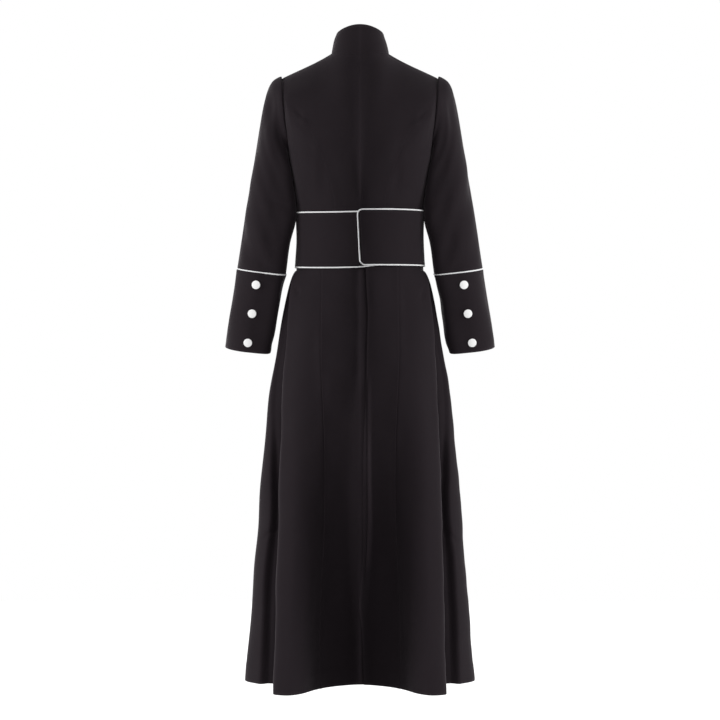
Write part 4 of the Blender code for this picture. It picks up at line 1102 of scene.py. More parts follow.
for side, hand_name in HANDS:
    armhole_line = armhole_degrees(BACK, ROWS)
    princess = np.interp(ROWS, LOW_ROWS, PRINCESS_DEGREES)
    edge = np.where(ROWS <= SIDE_BACK_TOP, princess, armhole_line)
    low = (ROWS <= SIDE_BACK_TOP)[:, None]
    u = evenly(lambda a, b: bodice(BACK, a, b), 0 * ROWS, edge, ROWS)
    sewn = lambda lay: (centre_back_ridge(lay) + edge_rise(lay.top, PRESSED)
                        + np.where(low, edge_rise(lay.right, BODICE_OVER), edge_rise(lay.right, AT_ARMHOLE)))
    panel(f"back_{hand_name}", f"bodice_back_{hand_name}", side, backs_form, u, ROWS[:, None] + 0 * u,
          sewn, folds=creases_of(BACK_CREASES, side, BODICE_SHIFT), seed=11 + side)

    u = evenly(lambda a, b: bodice(BACK, a, b), PRINCESS_DEGREES,
               armhole_degrees(BACK, LOW_ROWS), LOW_ROWS)
    above = (LOW_ROWS >= 0)[:, None]
    sewn = lambda lay: (edge_rise(lay.left, BODICE_UNDER)
                        + np.where(above, edge_rise(lay.right, AT_ARMHOLE), edge_rise(lay.right, PRESSED)))
    panel(f"side_back_{hand_name}", f"bodice_side_{hand_name}", side, backs_form, u,
          LOW_ROWS[:, None] + 0 * u, sewn, folds=creases_of(BACK_CREASES, side, BODICE_SHIFT),
          seed=21 + side)

# %% [markdown]
# ## The fronts
#
# The coat buttons down the front, the right front over the left. The lap's edge is turned back,
# so it is rounder and thicker than the cloth alone, and the front under it drops by a wall's
# thickness to make room.

# %% Fronts
def left_front_form(degrees, height, out):
    """The left front sinks beside the middle, to pass under the right one."""
    x = bodice(FRONT, degrees, height)[..., 0]
    return bodice_wall(FRONT, degrees, height, out - SINK * under_share(x, -FRONT_LAP))


def right_front_form(degrees, height, out):
    """The right front lies on top, on the form itself."""
    return bodice_wall(FRONT, degrees, height, out)


for side, hand_name in HANDS:
    form, lap = (left_front_form, FRONT_UNDERLAP) if side > 0 else (right_front_form, FRONT_LAP)
    u = evenly(lambda a, b: bodice(FRONT, a, b), front_degrees(-lap, ROWS),
               armhole_degrees(FRONT, ROWS), ROWS)
    above = (ROWS >= 0)[:, None]
    lap_edge = FOLDED if side < 0 else FREE
    sewn = lambda lay: (edge_rise(lay.left, lap_edge) + edge_rise(lay.top, PRESSED)
                        + np.where(above, edge_rise(lay.right, AT_ARMHOLE), edge_rise(lay.right, PRESSED)))
    panel(f"front_{hand_name}", f"bodice_front_{hand_name}", side, form, u, ROWS[:, None] + 0 * u, sewn,
          folds=creases_of(FRONT_CREASES, side, BODICE_SHIFT), round_edges=("left",), seed=31 + side)

# %% [markdown]
# ## The skirt
#
# Each gore runs from the waist seam to the hem, which is turned up 35 mm: along that line the
# cloth steps out by the thickness of the turned layer, and the foot is a rounded fold. The right
# back laps over the left in a pleat that opens at the walker's stride.

# %% Rows of the skirt
HEM_TURN = 0.035
HEM_LIFT = 0.0005
SKIRT_Z = np.concatenate([
    HEM_Z + NEAR,
    np.arange(HEM_Z + 0.008, FOLDS_Z, CELL),
    np.linspace(FOLDS_Z, WAIST_Z, 12),
])


def hem_rise(lay):
    """The turned hem lies under the cloth and lifts it by HEM_LIFT up to its own edge."""
    return HEM_LIFT * (1 - smooth((lay.bottom - HEM_TURN) / 0.003))


print(len(SKIRT_Z), "rows of points from the hem to the waist seam")

# %% Creases of the skirt
SKIRT_BACK_CREASES = (
    Crease(0.1335, -0.5120, 0.012, 0.0060, 70, -0.0030),  # under the end of the belt
)
SKIRT_SIDE_CREASES = (
    Crease(0.1335, -0.5120, 0.012, 0.0060, 70, -0.0030),
    Crease(0.1900, -1.0230, 0.016, 0.0040, -42, -0.0030),  # a crease across the recess
)
SKIRT_FRONT_CREASES = (
    Crease(0.1100, -0.7600, 0.010, 0.140, 4, -0.0030),
    Crease(0.0600, -0.9800, 0.011, 0.180, -3, 0.0026),
)


print(len(SKIRT_BACK_CREASES + SKIRT_SIDE_CREASES + SKIRT_FRONT_CREASES), "creases on half the skirt")

# %% The recess behind the deep fold
# Between the deep fold and the coat's side the cloth hangs in a hollow. Its outer edge lies at x.
CREST_FADES = 0.020  # metres outwards from the edge
FLOOR_INWARDS = 0.009  # metres inwards from the edge to the full depth
HOLLOW = table_of(
    "z x depth crest",
    (-1.335, 0.2083, 0.016, 0.001),
    (-1.160, 0.2046, 0.015, 0.001),
    (-1.076, 0.1995, 0.015, 0.001),
    (-0.992, 0.1903, 0.014, 0.001),
    (-0.868, 0.1907, 0.012, 0.001),
    (-0.806, 0.1900, 0.005, 0.000),
    (-0.750, 0.1900, 0.004, 0.000),
    (-0.700, 0.1870, 0.004, 0.000),
    (-0.620, 0.1740, 0.003, 0.000),
    (-0.500, 0.1520, 0.000, 0.000),
)


def hollow(at, p):
    """The recess: crest at its outer edge, which fades outwards, and less depth on its floor
    inwards from the edge, which rises again to nothing behind the deep fold."""
    x, z = p[..., 0], p[..., 2]
    edge, depth, crest = (through(z, column(HOLLOW, "z"), column(HOLLOW, f))
                          for f in ("x", "depth", "crest"))
    inside = edge - x
    outwards = crest * smooth(1 + inside / CREST_FADES)
    inwards = crest - (crest + depth) * smooth(inside / FLOOR_INWARDS)
    rise = np.where(inside < 0, outwards, inwards)
    behind, valley = AT["ridge_behind"], AT["side_valley"]
    return rise * smooth((at - behind) / (valley - behind)) + np.where(at < behind, middle_swing(p), 0)


print("the recess is up to", 1000 * max(column(HOLLOW, "depth")), "mm deeper than the form")

# %% How the middle of the back swings
# Between the two deep folds the back first bellies out from the form and then swings in under
# itself. Further out than x the belly fades over width, and nearer than x the swing grows over it.
SWINGS = table_of(
    "z x width belly swing",
    (-1.340, 0.125, 0.040, 0.000, 0.012),
    (-1.273, 0.125, 0.040, 0.000, 0.012),
    (-1.150, 0.105, 0.030, 0.000, 0.010),
    (-0.986, 0.090, 0.031, 0.010, 0.006),
    (-0.800, 0.082, 0.036, 0.020, 0.000),
    (-0.670, 0.080, 0.034, 0.018, 0.000),
    (-0.600, 0.080, 0.032, 0.011, 0.000),
    (-0.540, 0.080, 0.030, 0.005, 0.000),
    (-0.475, 0.080, 0.030, 0.000, 0.000),
)
FOLD_X = skirt(AT["ridge_behind"], SKIRT_Z)[..., 0]
SWING_ENDS = 0.015  # metres before the deep fold


def middle_swing(p):
    """belly exp(-(a / width)²) for a beyond x, less swing (1 - exp(-(a / width)²)) within x. It is
    nothing at the deep fold."""
    x, z = p[..., 0], p[..., 2]
    at_x, width, belly, swing = (through(z, column(SWINGS, "z"), column(SWINGS, f))
                                 for f in ("x", "width", "belly", "swing"))
    outer = np.exp(-(np.maximum(x - at_x, 0) / width) ** 2)
    inner = 1 - np.exp(-(np.maximum(at_x - x, 0) / width) ** 2)
    return (belly * outer - swing * inner) * smooth((np.interp(z, SKIRT_Z, FOLD_X) - x) / SWING_ENDS)


print("in mm, the back bellies out by up to", 1000 * max(column(SWINGS, "belly")), "and swings in by",
      1000 * max(column(SWINGS, "swing")))

# %% A pressed line beside the pleat
PLEAT_LINE = table_of(
    "z x rise",
    (-1.139, 0.0100, 0.0050),
    (-1.076, 0.0140, 0.0070),
    (-0.993, 0.0178, 0.0080),
    (-0.880, 0.0178, 0.0055),
    (-0.742, 0.0178, 0.0030),
)
LINE_WIDTH, LINE_TOP, LINE_FOOT = 0.0045, -0.68, -1.16
# Highlights painted into the colour: a lighter stripe beside the pressed line, and one along the deep fold's
# edge.
HIGHLIGHT_WIDTH, HIGHLIGHT_TOP, HIGHLIGHT_FOOT = 0.0042, -0.78, -1.12
HIGHLIGHT_BESIDE = 0.003  # metres from the ridge outwards to the middle of the painted highlight's stripe
FOLD_HIGHLIGHT_WIDTH = 0.004
LINE_HIGHLIGHT, FOLD_HIGHLIGHT = 1.8, 0.8  # how far each painted highlight goes towards the lighter colour


def pleat_line(at, p):
    """A soft ridge where the pleat was once pressed: rise exp(-((x - line) / width)²), faded out
    at its top and its foot."""
    x, z = p[..., 0], p[..., 2]
    line_x, rise = (through(z, column(PLEAT_LINE, "z"), column(PLEAT_LINE, f)) for f in ("x", "rise"))
    line = rise * np.exp(-((x - line_x) / LINE_WIDTH) ** 2)
    return line * smooth((LINE_TOP - z) / 0.06) * smooth((z - LINE_FOOT) / 0.08) + middle_swing(p)


def pleat_painted_highlight(u, p):
    """A highlight painted into the colour, a lighter stripe beside the pressed line: LINE_HIGHLIGHT
    exp(-((x - stripe) / width)²), faded out at its top and its foot."""
    x, z = p[..., 0], p[..., 2]
    stripe_x = through(z, column(PLEAT_LINE, "z"), column(PLEAT_LINE, "x")) + HIGHLIGHT_BESIDE
    painted_highlight = LINE_HIGHLIGHT * np.exp(-((x - stripe_x) / HIGHLIGHT_WIDTH) ** 2)
    return painted_highlight * smooth((HIGHLIGHT_TOP - z) / 0.08) * smooth((z - HIGHLIGHT_FOOT) / 0.06)


def fold_painted_highlight(u, p):
    """A highlight painted into the colour along the outer edge of the deep fold: FOLD_HIGHLIGHT
    exp(-(d / width)²), where d is the distance in x from where each row of it turns back."""
    reach = np.where(u < AT["side_valley"], p[..., 0], 0)
    return FOLD_HIGHLIGHT * np.exp(-((reach.max(axis=1, keepdims=True) - reach) / FOLD_HIGHLIGHT_WIDTH) ** 2)


print("the pressed line rises up to", 1000 * max(column(PLEAT_LINE, "rise")), "mm")


# %% Gores
def gore(name, node, side, start, end, sewn, folds, round_edges, seed, relief=None, worn_and_highlit=None):
    """One gore between two lines of the skirt's coordinate, a value for each row."""
    fine = CELL / 2 if relief is pleat_line else CELL  # the pressed line is a narrow one
    u = evenly(skirt, start + 0 * SKIRT_Z, end + 0 * SKIRT_Z, SKIRT_Z, fine)
    form = left_skirt_wall if side > 0 and "side" not in name else skirt_wall
    creases = creases_of(folds, side, SKIRT_SHIFT)
    panel(name, node, side, form, u, SKIRT_Z[:, None] + 0 * u, lambda lay: sewn(lay) + hem_rise(lay),
          folds=lambda p: creases(p) + (0 if relief is None else relief(u, p)),
          round_edges=("bottom",) + round_edges, seed=seed, worn_and_highlit=worn_and_highlit)


PRINCESS_SHIFT = 0.001 + 0.006 * smooth((-0.52 - SKIRT_Z) / 0.2)  # metres outwards from its fold line
PRINCESS_AT = at_distance(skirt(AT["princess_seam"], SKIRT_Z)[..., 0] + PRINCESS_SHIFT, SKIRT_Z)
for side, hand_name in HANDS:
    edge = pleat_edge(SKIRT_Z)
    start = at_distance(-edge - PLEAT_UNDERLAP if side > 0 else edge, SKIRT_Z)
    pleat = FREE if side > 0 else PLEAT_FOLD
    # The right back gore gets a highlight painted beside its pressed line, and the side gores one along the
    # deep fold's edge.
    gore(f"skirt_back_gore_{hand_name}", f"skirt_back_{hand_name}", side, start, PRINCESS_AT,
         lambda lay: edge_rise(lay.left, pleat) + edge_rise(lay.right, SKIRT_OVER), SKIRT_BACK_CREASES,
         ("left",), 41 + side,
         pleat_line if side < 0 else lambda at, p: middle_swing(p), pleat_painted_highlight if side < 0 else None)
    gore(f"skirt_side_gore_{hand_name}", f"skirt_side_{hand_name}", side, PRINCESS_AT, AT["side_seam"],
         lambda lay: edge_rise(lay.left, SKIRT_UNDER) + edge_rise(lay.right, PRESSED), SKIRT_SIDE_CREASES,
         (), 51 + side, hollow, fold_painted_highlight)
    lap = FRONT_UNDERLAP if side > 0 else FRONT_LAP
    lap_edge = FREE if side > 0 else FOLDED
    gore(f"skirt_front_gore_{hand_name}", f"skirt_front_{hand_name}", side, AT["side_seam"],
         at_front_distance(lap, SKIRT_Z),
         lambda lay: edge_rise(lay.left, PRESSED) + edge_rise(lay.right, lap_edge), SKIRT_FRONT_CREASES,
         ("right",), 61 + side)

# %% [markdown]
# ## Sleeves and cuffs
#
# The sleeve's head holds more cloth than the armhole, so it rolls over the seam. Behind the arm it
# falls in one soft fold beside the armhole. The deep cuff is a stiffened band that stands a little
# proud of the sleeve at its piped top.

# %% Rings of the sleeve
def ring_of_armhole():
    """The armhole as a ring that starts at the tip, runs down the back and up the front."""
    rows = ROWS[ROWS >= 0]
    found = []
    for read in (armhole, armhole_turn, armhole_mitre):
        found.append(np.concatenate([read(BACK, rows)[::-1], read(FRONT, rows)[1:]]))
    found[1][-1] = 1.0
    return found


def tube_facing(rings):
    """Normals of a closed grid: along it crossed with round it."""
    open_rings = rings[:, :-1]
    around = np.roll(open_rings, -1, axis=1) - np.roll(open_rings, 1, axis=1)
    n = unit(np.cross(np.gradient(open_rings, axis=0), around))
    return np.concatenate([n, n[:, :1]], axis=1)


RING, TURN, MITRE = ring_of_armhole()
CAP_SHARES = np.concatenate([[0, 0.006, 0.012, 0.020, 0.032, 0.050], np.linspace(0.075, 1, 36)])
PIPING = 0.0016
SLEEVE_ZS = np.arange(SLEEVE_TOP_Z - CELL, CUFF_TOP_Z + 0.006, -CELL)
SLEEVE_FOOT = CUFF_TOP_Z + np.array([0.0040, 0.0026, 0.0017, 0.0010])


def cap_rings(shares):
    """Rings of the head from the armhole down, one for each share of the way."""
    return np.array([sleeve_cap(RING, TURN, share) for share in shares])


def tube_rings(heights, turn=TURN):
    """Rings of the tube, one for each height."""
    return np.array([sleeve_oval(turn, np.full_like(turn, z)) for z in heights])


girths = [run_along(ring)[-1] for ring in (RING, *tube_rings([SLEEVE_TOP_Z, CUFF_HEM_Z]))]
print("round the armhole, the upper arm and the cuff's hem, in metres:", np.round(girths, 3))

# %% Creases of the sleeve
# Placed by the distance round the sleeve from its outside, 0.17 m to the inside, and the height.
SLEEVE_CREASES = (
    Crease(0.110, -0.3300, 0.040, 0.0070, -18, -0.0016),  # behind the elbow
    Crease(0.090, -0.3600, 0.045, 0.0090, 12, -0.0014),
    Crease(0.120, -0.4050, 0.040, 0.0080, -10, -0.0014),
    Crease(0.240, -0.3350, 0.045, 0.0060, 14, -0.0030),  # inside the elbow
    Crease(0.235, -0.3620, 0.050, 0.0070, -6, -0.0034),
    Crease(0.245, -0.3900, 0.042, 0.0060, 10, -0.0026),
    Crease(0.225, -0.1500, 0.012, 0.060, -8, -0.0030),
)
ROUND_THE_SLEEVE = 0.34
# Behind the shoulder they are placed by x and z, as on the back.
SHOULDER_CREASES = (
    Crease(0.1940, -0.1320, 0.045, 0.0240, 82, -0.0085),  # the dip beside the rolled head
)


BESIDE_BODY = smooth((np.abs(TURN - 0.5) - 0.07) / 0.10)  # 0 where the sleeve lies on the body


def sleeve_creases(rings, side):
    """The creases round the tube, and those behind the shoulder, added up."""
    shift, share = (0.0, 1.0) if side > 0 else (-0.007, 0.9)
    round_it = BESIDE_BODY * creased(TURN * ROUND_THE_SLEEVE, rings[..., 2] + shift, SLEEVE_CREASES)
    behind = smooth((TURN - 0.03) / 0.12) * (TURN < 0.5)
    return share * (round_it + behind * creased(rings[..., 0], rings[..., 2] + shift, SHOULDER_CREASES))


print(len(SLEEVE_CREASES), "creases on each sleeve, and one dip beside its head")


# %% A tube of cloth
def tube(name, node, side, rings, normals, soft, sewn, round_edges):
    """A sleeve or cuff: its rings moved out along their normals, and in by the wall."""
    mirror = np.array([side, 1.0, 1.0])
    lay = lay_of(rings)
    outer = (rings + normals * (soft + sewn)[..., None]) * mirror
    inner = (rings + normals * (soft - WALL)[..., None]) * mirror
    piece = wall(name, outer, inner, lay, closed=True, round_edges=round_edges)
    dress(piece, suiting, "black_suiting", node)
    cut_out(piece, outer, lay)


# %% Sleeves
sleeve = np.concatenate([cap_rings(CAP_SHARES), tube_rings(np.concatenate([SLEEVE_ZS, SLEEVE_FOOT]))])
sleeve_n = tube_facing(sleeve)
sleeve_n[0] = mitred(MITRE, sleeve_n[0])
sleeve_lay = lay_of(sleeve)
for side, hand_name in HANDS:
    soft = hand(sleeve_lay, 71 + side, 0.0006) * BESIDE_BODY + sleeve_creases(sleeve, side)
    soft = soft * smooth(np.minimum(sleeve_lay.bottom, sleeve_lay.top) / STILL)
    sewn = edge_rise(sleeve_lay.bottom, SLEEVE_HEAD) + edge_rise(sleeve_lay.top, PRESSED)
    tube(f"sleeve_cloth_{hand_name}", f"sleeve_{hand_name}", side, sleeve, sleeve_n, soft, sewn, ())

# %% Cuffs
CUFF_ZS = np.concatenate([CUFF_TOP_Z - NEAR[2:], np.arange(CUFF_TOP_Z - 0.008, CUFF_HEM_Z + 0.006, -CELL),
                          CUFF_HEM_Z + NEAR[::-1]])
cuff = tube_rings(CUFF_ZS)
cuff_n, cuff_lay = tube_facing(cuff), lay_of(cuff)
CUFF_TOP_EDGE = Edge(0.0006, 0.0013, 0.0007, 0.010)
for side, hand_name in HANDS:
    soft = hand(cuff_lay, 81 + side, 0.0007)
    tube(f"cuff_band_{hand_name}", f"cuff_{hand_name}", side, cuff, cuff_n, soft,
         edge_rise(cuff_lay.bottom, CUFF_TOP_EDGE), ("top",))

# %% [markdown]
# ## The stand collar
#
# The collar is a stiffened double band, cut as one piece and open a slit at the front. It leans
# in towards the neck and is lower in front. Its outside is one function: the neckline at its
# foot, a smaller ellipse at its top, and a slight swell between.

# %% Collar
COLLAR_WALL = 0.0026
COLLAR_TOP = {"half": 0.0500, "back": 0.0480, "front": 0.0580, "side_z": 0.0430}
COLLAR_BACK_RISE = 0.0120
COLLAR_FRONT_DROP = 0.0610
COLLAR_SWELL = 0.0015
COLLAR_SPLIT = 0.0015
COLLAR_HEIGHT = 0.055  # roughly, to turn metres into shares


def collar_point(face, turn, share):
    """From the neckline (share 0) straight to the top edge (share 1), plus 4 swell s (1 - s)."""
    a = np.radians(90 * turn)
    reach, rise = (("back", COLLAR_BACK_RISE) if face is BACK else ("front", -COLLAR_FRONT_DROP))
    foot = neckline(face, turn)
    top = points(COLLAR_TOP["half"] * np.sin(a), face.sign * COLLAR_TOP[reach] * np.cos(a),
                 COLLAR_TOP["side_z"] + rise * np.cos(a) ** 2)
    swell = points(np.sin(a), face.sign * np.cos(a), 0) * COLLAR_SWELL
    share = np.asarray(share, float)[..., None]
    return foot + (top - foot) * share + swell * 4 * share * (1 - share)


def collar_outside(place, share):
    """place runs from 0 at the collar's left end, round the back at 1, to 2 at its right end."""
    split = COLLAR_SPLIT / NECK_HALF * 2 / np.pi
    side = np.where(place > 1, -1.0, 1.0)
    half = np.where(place > 1, 2 - place, place)
    before = collar_point(FRONT, split + np.clip(half / 0.5, 0, 1) * (1 - split), share)
    behind = collar_point(BACK, 1 - np.clip(half / 0.5 - 1, 0, 1), share)
    found = np.where((half < 0.5)[..., None], before, behind)
    found[..., 0] *= side
    return found


def collar_form(place, share, out):
    """The collar's outside moved out level."""
    across = collar_outside(place + 0.004, share) - collar_outside(place - 0.004, share)
    level = unit(points(across[..., 1], -across[..., 0], 0))
    return collar_outside(place, share) + level * np.asarray(out, float)[..., None]


behind = collar_point(BACK, 0.0, np.array([0.0, 1.0]))
print("the collar is", round(run_along(behind)[-1], 3), "m high behind")

# %% Dress the collar
COLLAR_FOOT = 0.0032  # the turning that is sewn inside the neckline
near = NEAR / COLLAR_HEIGHT
shares = np.concatenate([[-COLLAR_FOOT / COLLAR_HEIGHT], near, np.linspace(near[-1], 1, 18)[1:-1],
                         1 - near[3::-1]])
inside = np.clip(evenly(collar_outside, 0 * shares, 2 + 0 * shares, shares, 0.003), 0.0, 2.0)
share_grid = shares[:, None] + 0 * inside
lay = lay_of(collar_outside(inside, share_grid))
soft = hand(lay, 91, 0.0003)
outer = collar_form(inside, share_grid, soft + edge_rise(np.abs(lay.bottom - COLLAR_FOOT), BODICE_OVER))
collar = wall("stand_collar", outer, collar_form(inside, share_grid, soft - COLLAR_WALL), lay,
              round_edges=("left", "right", "top"))
dress(collar, suiting, "black_suiting", "collar")
cut_out(collar, outer, lay)

# %% [markdown]
# ## The belt
#
# The belt, or fascia, is a stiff band wrapped once round the waist. Its outer end laps over the
# start behind and is hooked there, with rounded corners. As a function it is easiest in its own
# coordinates: a station along the band and a height across it, wrapped round the body's oval.

# %% The belt's own coordinates
BELT_HEIGHT = 0.1130
BELT_CORNER = 0.0085
BELT_WALL = 0.0026
BELT_REST = 0.0016  # from the body to the band's inside
BELT_SECOND_LAYER = 0.0039  # how much further out the lapped end lies
BELT_LEAN = 0.048  # the lapped end leans: its top corner reaches further round
BELT_LEAN_LENGTH = 0.050
BELT_OUT = BELT_REST + BELT_WALL
SEAM = 0.0003
BELT = table_of(
    "degrees mid_z layer",
    (-48, -0.3985, 0.0),
    (-14, -0.4000, 0.0),
    (0, -0.4040, 0.0),
    (12, -0.4048, 0.0),
    (90, -0.4008, 0.0),
    (180, -0.3990, 0.0),
    (276, -0.3975, 0.0),
    (306, -0.3985, 1.0),
    (360.3, -0.4000, 1.0),
)


def around_body(degrees, z):
    """The body's oval at any angle from the middle of the back, the wearer's left first."""
    folded = np.mod(degrees, 360)
    side = np.where(folded > 180, -1.0, 1.0)
    ring = waist_ring(np.where(folded > 180, 360 - folded, folded), z)
    return points(ring[..., 0] * side, ring[..., 1], z)


def belt_point(degrees, height, out):
    """A point of the belt: height up from its middle line, and out from the body."""
    degrees = np.asarray(degrees, float)
    z = through(degrees, column(BELT, "degrees"), column(BELT, "mid_z")) + height
    layer = smooth(np.interp(degrees, column(BELT, "degrees"), column(BELT, "layer")))
    step = around_body(degrees + 0.2, z) - around_body(degrees - 0.2, z)
    n = unit(points(-step[..., 1], step[..., 0], 0))
    return around_body(degrees, z) + n * (out + BELT_SECOND_LAYER * layer)[..., None]


BELT_DEGREES = np.linspace(BELT[0].degrees, BELT[-1].degrees, 600)
BELT_RUN = run_along(belt_point(BELT_DEGREES, 0.0, np.full(600, BELT_REST + BELT_WALL / 2)))
BELT_LENGTH = BELT_RUN[-1]
print("the belt is", round(BELT_LENGTH, 3), "m long from end to end")


def belt_angle(station, height):
    """The angle at a station, moved round by BELT_LEAN for each metre of height near the end.
    Past the end the piping runs on at the same rate."""
    u = (station - BELT_LENGTH) / BELT_LEAN_LENGTH + 1
    station = station + BELT_LEAN * height * smooth(u)
    rate = (BELT_DEGREES[-1] - BELT_DEGREES[-2]) / (BELT_RUN[-1] - BELT_RUN[-2])
    past = np.maximum(station - BELT_LENGTH, 0)
    return np.interp(station, BELT_RUN, BELT_DEGREES) + past * rate


def belt_form(station, height, out):
    """The belt by the metres run along it, its height and its distance out."""
    return belt_point(belt_angle(station, height), height, out)


# %% The band
corner = np.radians(np.linspace(90, 0, 14))
stations = np.concatenate([np.arange(0, BELT_LENGTH - BELT_CORNER, CELL),
                           BELT_LENGTH - BELT_CORNER * (1 - np.cos(corner))])
cut = np.clip((stations - BELT_LENGTH + BELT_CORNER) / BELT_CORNER, 0, 1)
half = BELT_HEIGHT / 2 - BELT_CORNER * (1 - np.sqrt(1 - cut ** 2))
near = NEAR[1:] / (BELT_HEIGHT / 2)
across_band = np.concatenate([[-1], near - 1, np.linspace(-1 + near[-1], 1 - near[-1], 26)[1:-1],
                              1 - near[::-1], [1]])
heights = across_band[:, None] * half[None, :]
station_grid = np.broadcast_to(stations[None, :], heights.shape)
lay = lay_of(belt_form(station_grid, heights, np.full(heights.shape, BELT_OUT)))
BELT_EDGE = Edge(0.0004, 0.0012, 0.0003, 0.006)
rise = (edge_rise(lay.bottom, BELT_EDGE) + edge_rise(lay.top, BELT_EDGE) + edge_rise(lay.right, BELT_EDGE)
        + hand(lay, 101, 0.00025))
outer = belt_form(station_grid, heights, BELT_OUT + rise)
inner = belt_form(station_grid, heights, np.full(heights.shape, BELT_REST))
belt = wall("fascia_band", outer, inner, lay)
dress(belt, suiting, "black_suiting", "belt")
cut_out(belt, outer, lay)

# %% [markdown]
# ## White piping
#
# Piping is a cord wrapped in a strip cut on the bias and caught in the seam. A curve with a bevel
# would make a plain tube. Here a circle is carried along the path by the way the cloth faces, so
# the tube can also pinch a little at every stitch and keep a strip's own layout for its weave.

# %% Sweep a circle along a path
PINCH, PINCH_PITCH = 0.06, 0.0030  # a share of the radius, and metres from stitch to stitch


def swept(name, path, outward, radius, closed=False, sides=12, pinch=0.0, pitch=PINCH_PITCH):
    """A tube of points path + r (n cos a + b sin a), where n is outward and b is the path's
    direction crossed with it. The radius pinches by a share at every stitch."""
    if closed:
        before, after = path[-1:], path[:1]
    else:
        before, after = 2 * path[:1] - path[1:2], 2 * path[-1:] - path[-2:-1]
    longer = np.concatenate([before, path, after])
    along = unit(longer[2:] - longer[:-2])
    n = unit(outward - along * np.sum(outward * along, axis=1, keepdims=True))
    b = np.cross(along, n)
    run = run_along(path)
    size = radius * (1 - pinch * (0.5 + 0.5 * np.cos(TWO_PI * run / pitch)) ** 3)
    a = np.linspace(0, TWO_PI, sides, endpoint=False)
    ring = n[:, None] * np.cos(a)[None, :, None] + b[:, None] * np.sin(a)[None, :, None]
    corners = (path[:, None] + ring * size[:, None, None]).reshape(-1, 3)
    number = np.arange(len(path) * sides).reshape(len(path), sides)
    number = np.concatenate([number, number[:, :1]], axis=1)
    girth = np.linspace(0, TWO_PI * radius, sides + 1)
    place = np.stack(np.broadcast_arrays(run[:, None], girth[None, :]), axis=-1)
    if closed:
        number = np.concatenate([number, number[:1]])
        place = np.concatenate([place, place[-1:] + [np.linalg.norm(path[0] - path[-1]), 0]])
    faces, uv = [grid_quads(number)], [grid_quads(place)]
    if not closed:
        faces.append(np.stack([number[0, -2::-1], number[-1, :-1]]))
        uv.append(np.stack([place[0, -2::-1], place[-1, :-1]]))
    return mesh_object(name, corners, faces, uv)


print("a cord pinches every", PINCH_PITCH * 1000, "mm")

# %% The finish of the piping
THREAD = 0.0006  # metres from one thread of the weave to the next


def make_piping_cloth():
    """White bias-cut cotton: the product of two sines, slantwise both ways over the cord."""
    made, shader, place = new_finish("white_piping_cotton", Sheen_Weight=0.1, Specular_IOR_Level=0.25)
    flat = place.node("ShaderNodeUVMap", {"uv_map": "cloth"})
    u, v, _ = split(flat)
    weave = ((u + v) * (TWO_PI / THREAD)).sine() * ((u - v) * (TWO_PI / THREAD)).sine()
    cloud = place.noise(60.0)
    set_socket(shader, "Base Color", mixed(place, cloud + 0.5, PIPING_SHADE, PIPING_WHITE))
    set_socket(shader, "Roughness", 0.62 + cloud * 0.1)
    sockets = {"Strength": 0.3, "Distance": 0.00015, "Height": weave}
    set_socket(shader, "Normal", place.node("ShaderNodeBump", sockets=sockets))
    return made


PIPING_WHITE = (0.86, 0.86, 0.865)
PIPING_SHADE = (0.79, 0.79, 0.805)
piping_cloth = make_piping_cloth()
print("piping: threads", THREAD * 1000, "mm apart")

# %% Piping round the belt
plain = np.arange(0, BELT_LENGTH - BELT_CORNER - 0.001, 0.0015)
reach = BELT_CORNER + SEAM + PIPING
turn = np.radians(np.linspace(90, 0, 12))
edge_at = np.concatenate([plain, BELT_LENGTH - BELT_CORNER + reach * np.cos(turn)])
over_corner = np.concatenate([np.full(len(plain), reach), reach * np.sin(turn)])
edge_up = BELT_HEIGHT / 2 - BELT_CORNER + over_corner
end_side = np.linspace(1, -1, 62)[1:-1] * edge_up[-1]
edge_at = np.concatenate([edge_at, np.full(len(end_side), edge_at[-1]), edge_at[::-1]])
edge_up = np.concatenate([edge_up, end_side, -edge_up[::-1]])
middle = np.full(len(edge_up), BELT_REST + BELT_WALL / 2)
path = belt_form(edge_at, edge_up, middle)
outward = belt_form(edge_at, edge_up, middle + 0.001) - path
cord = swept("fascia_piping", path, outward, PIPING, pinch=PINCH)
dress(cord, piping_cloth, "white_piping", "belt_piping")
print("belt piping:", round(run_along(path)[-1], 3), "m of cord")

# %% Piping between sleeve and cuff
FINE_TURN = np.linspace(0, 1, 221)
for side, hand_name in HANDS:
    mirror = np.array([side, 1.0, 1.0])
    rings = tube_rings(CUFF_TOP_Z + np.array([0.002, 0, -0.002]), FINE_TURN[:-1])
    outward = tube_facing(np.concatenate([rings, rings[:, :1]], axis=1))[1, :-1]
    cord = swept(f"cuff_piping_cord_{hand_name}", rings[1] * mirror, outward * mirror, PIPING,
                 closed=True, pinch=PINCH)
    print(f"cuff piping {hand_name}:", round(run_along(rings[1, range(-1, 220)])[-1], 3), "m of cord")
    dress(cord, piping_cloth, "white_piping", f"cuff_piping_{hand_name}")

# %% [markdown]
# ## Buttons
#
# A button for a clerical coat is a turned disc with a low dome and a soft rim, sewn on by a loop
# behind it. It is a surface of revolution: a profile of radius and height, turned round the way
# the cloth faces. The middle of each side is one point, so the turning closes there.

# %% Turn a button
BUTTON_RADIUS = 0.0093
BUTTON_STAND = 0.0004
BUTTON_PROFILE = table_of(
    "radius height",  # in radii, from the back to the face
    (0.30, 0.000), (0.62, 0.005), (0.86, 0.035), (0.96, 0.090),
    (1.00, 0.165), (0.985, 0.235), (0.945, 0.290), (0.89, 0.318),
    (0.83, 0.322), (0.78, 0.318), (0.70, 0.332), (0.55, 0.358),
    (0.36, 0.382), (0.16, 0.396),
)
BUTTON_BACK, BUTTON_FACE = 0.0, 0.400
BUTTON_SIDES = 48


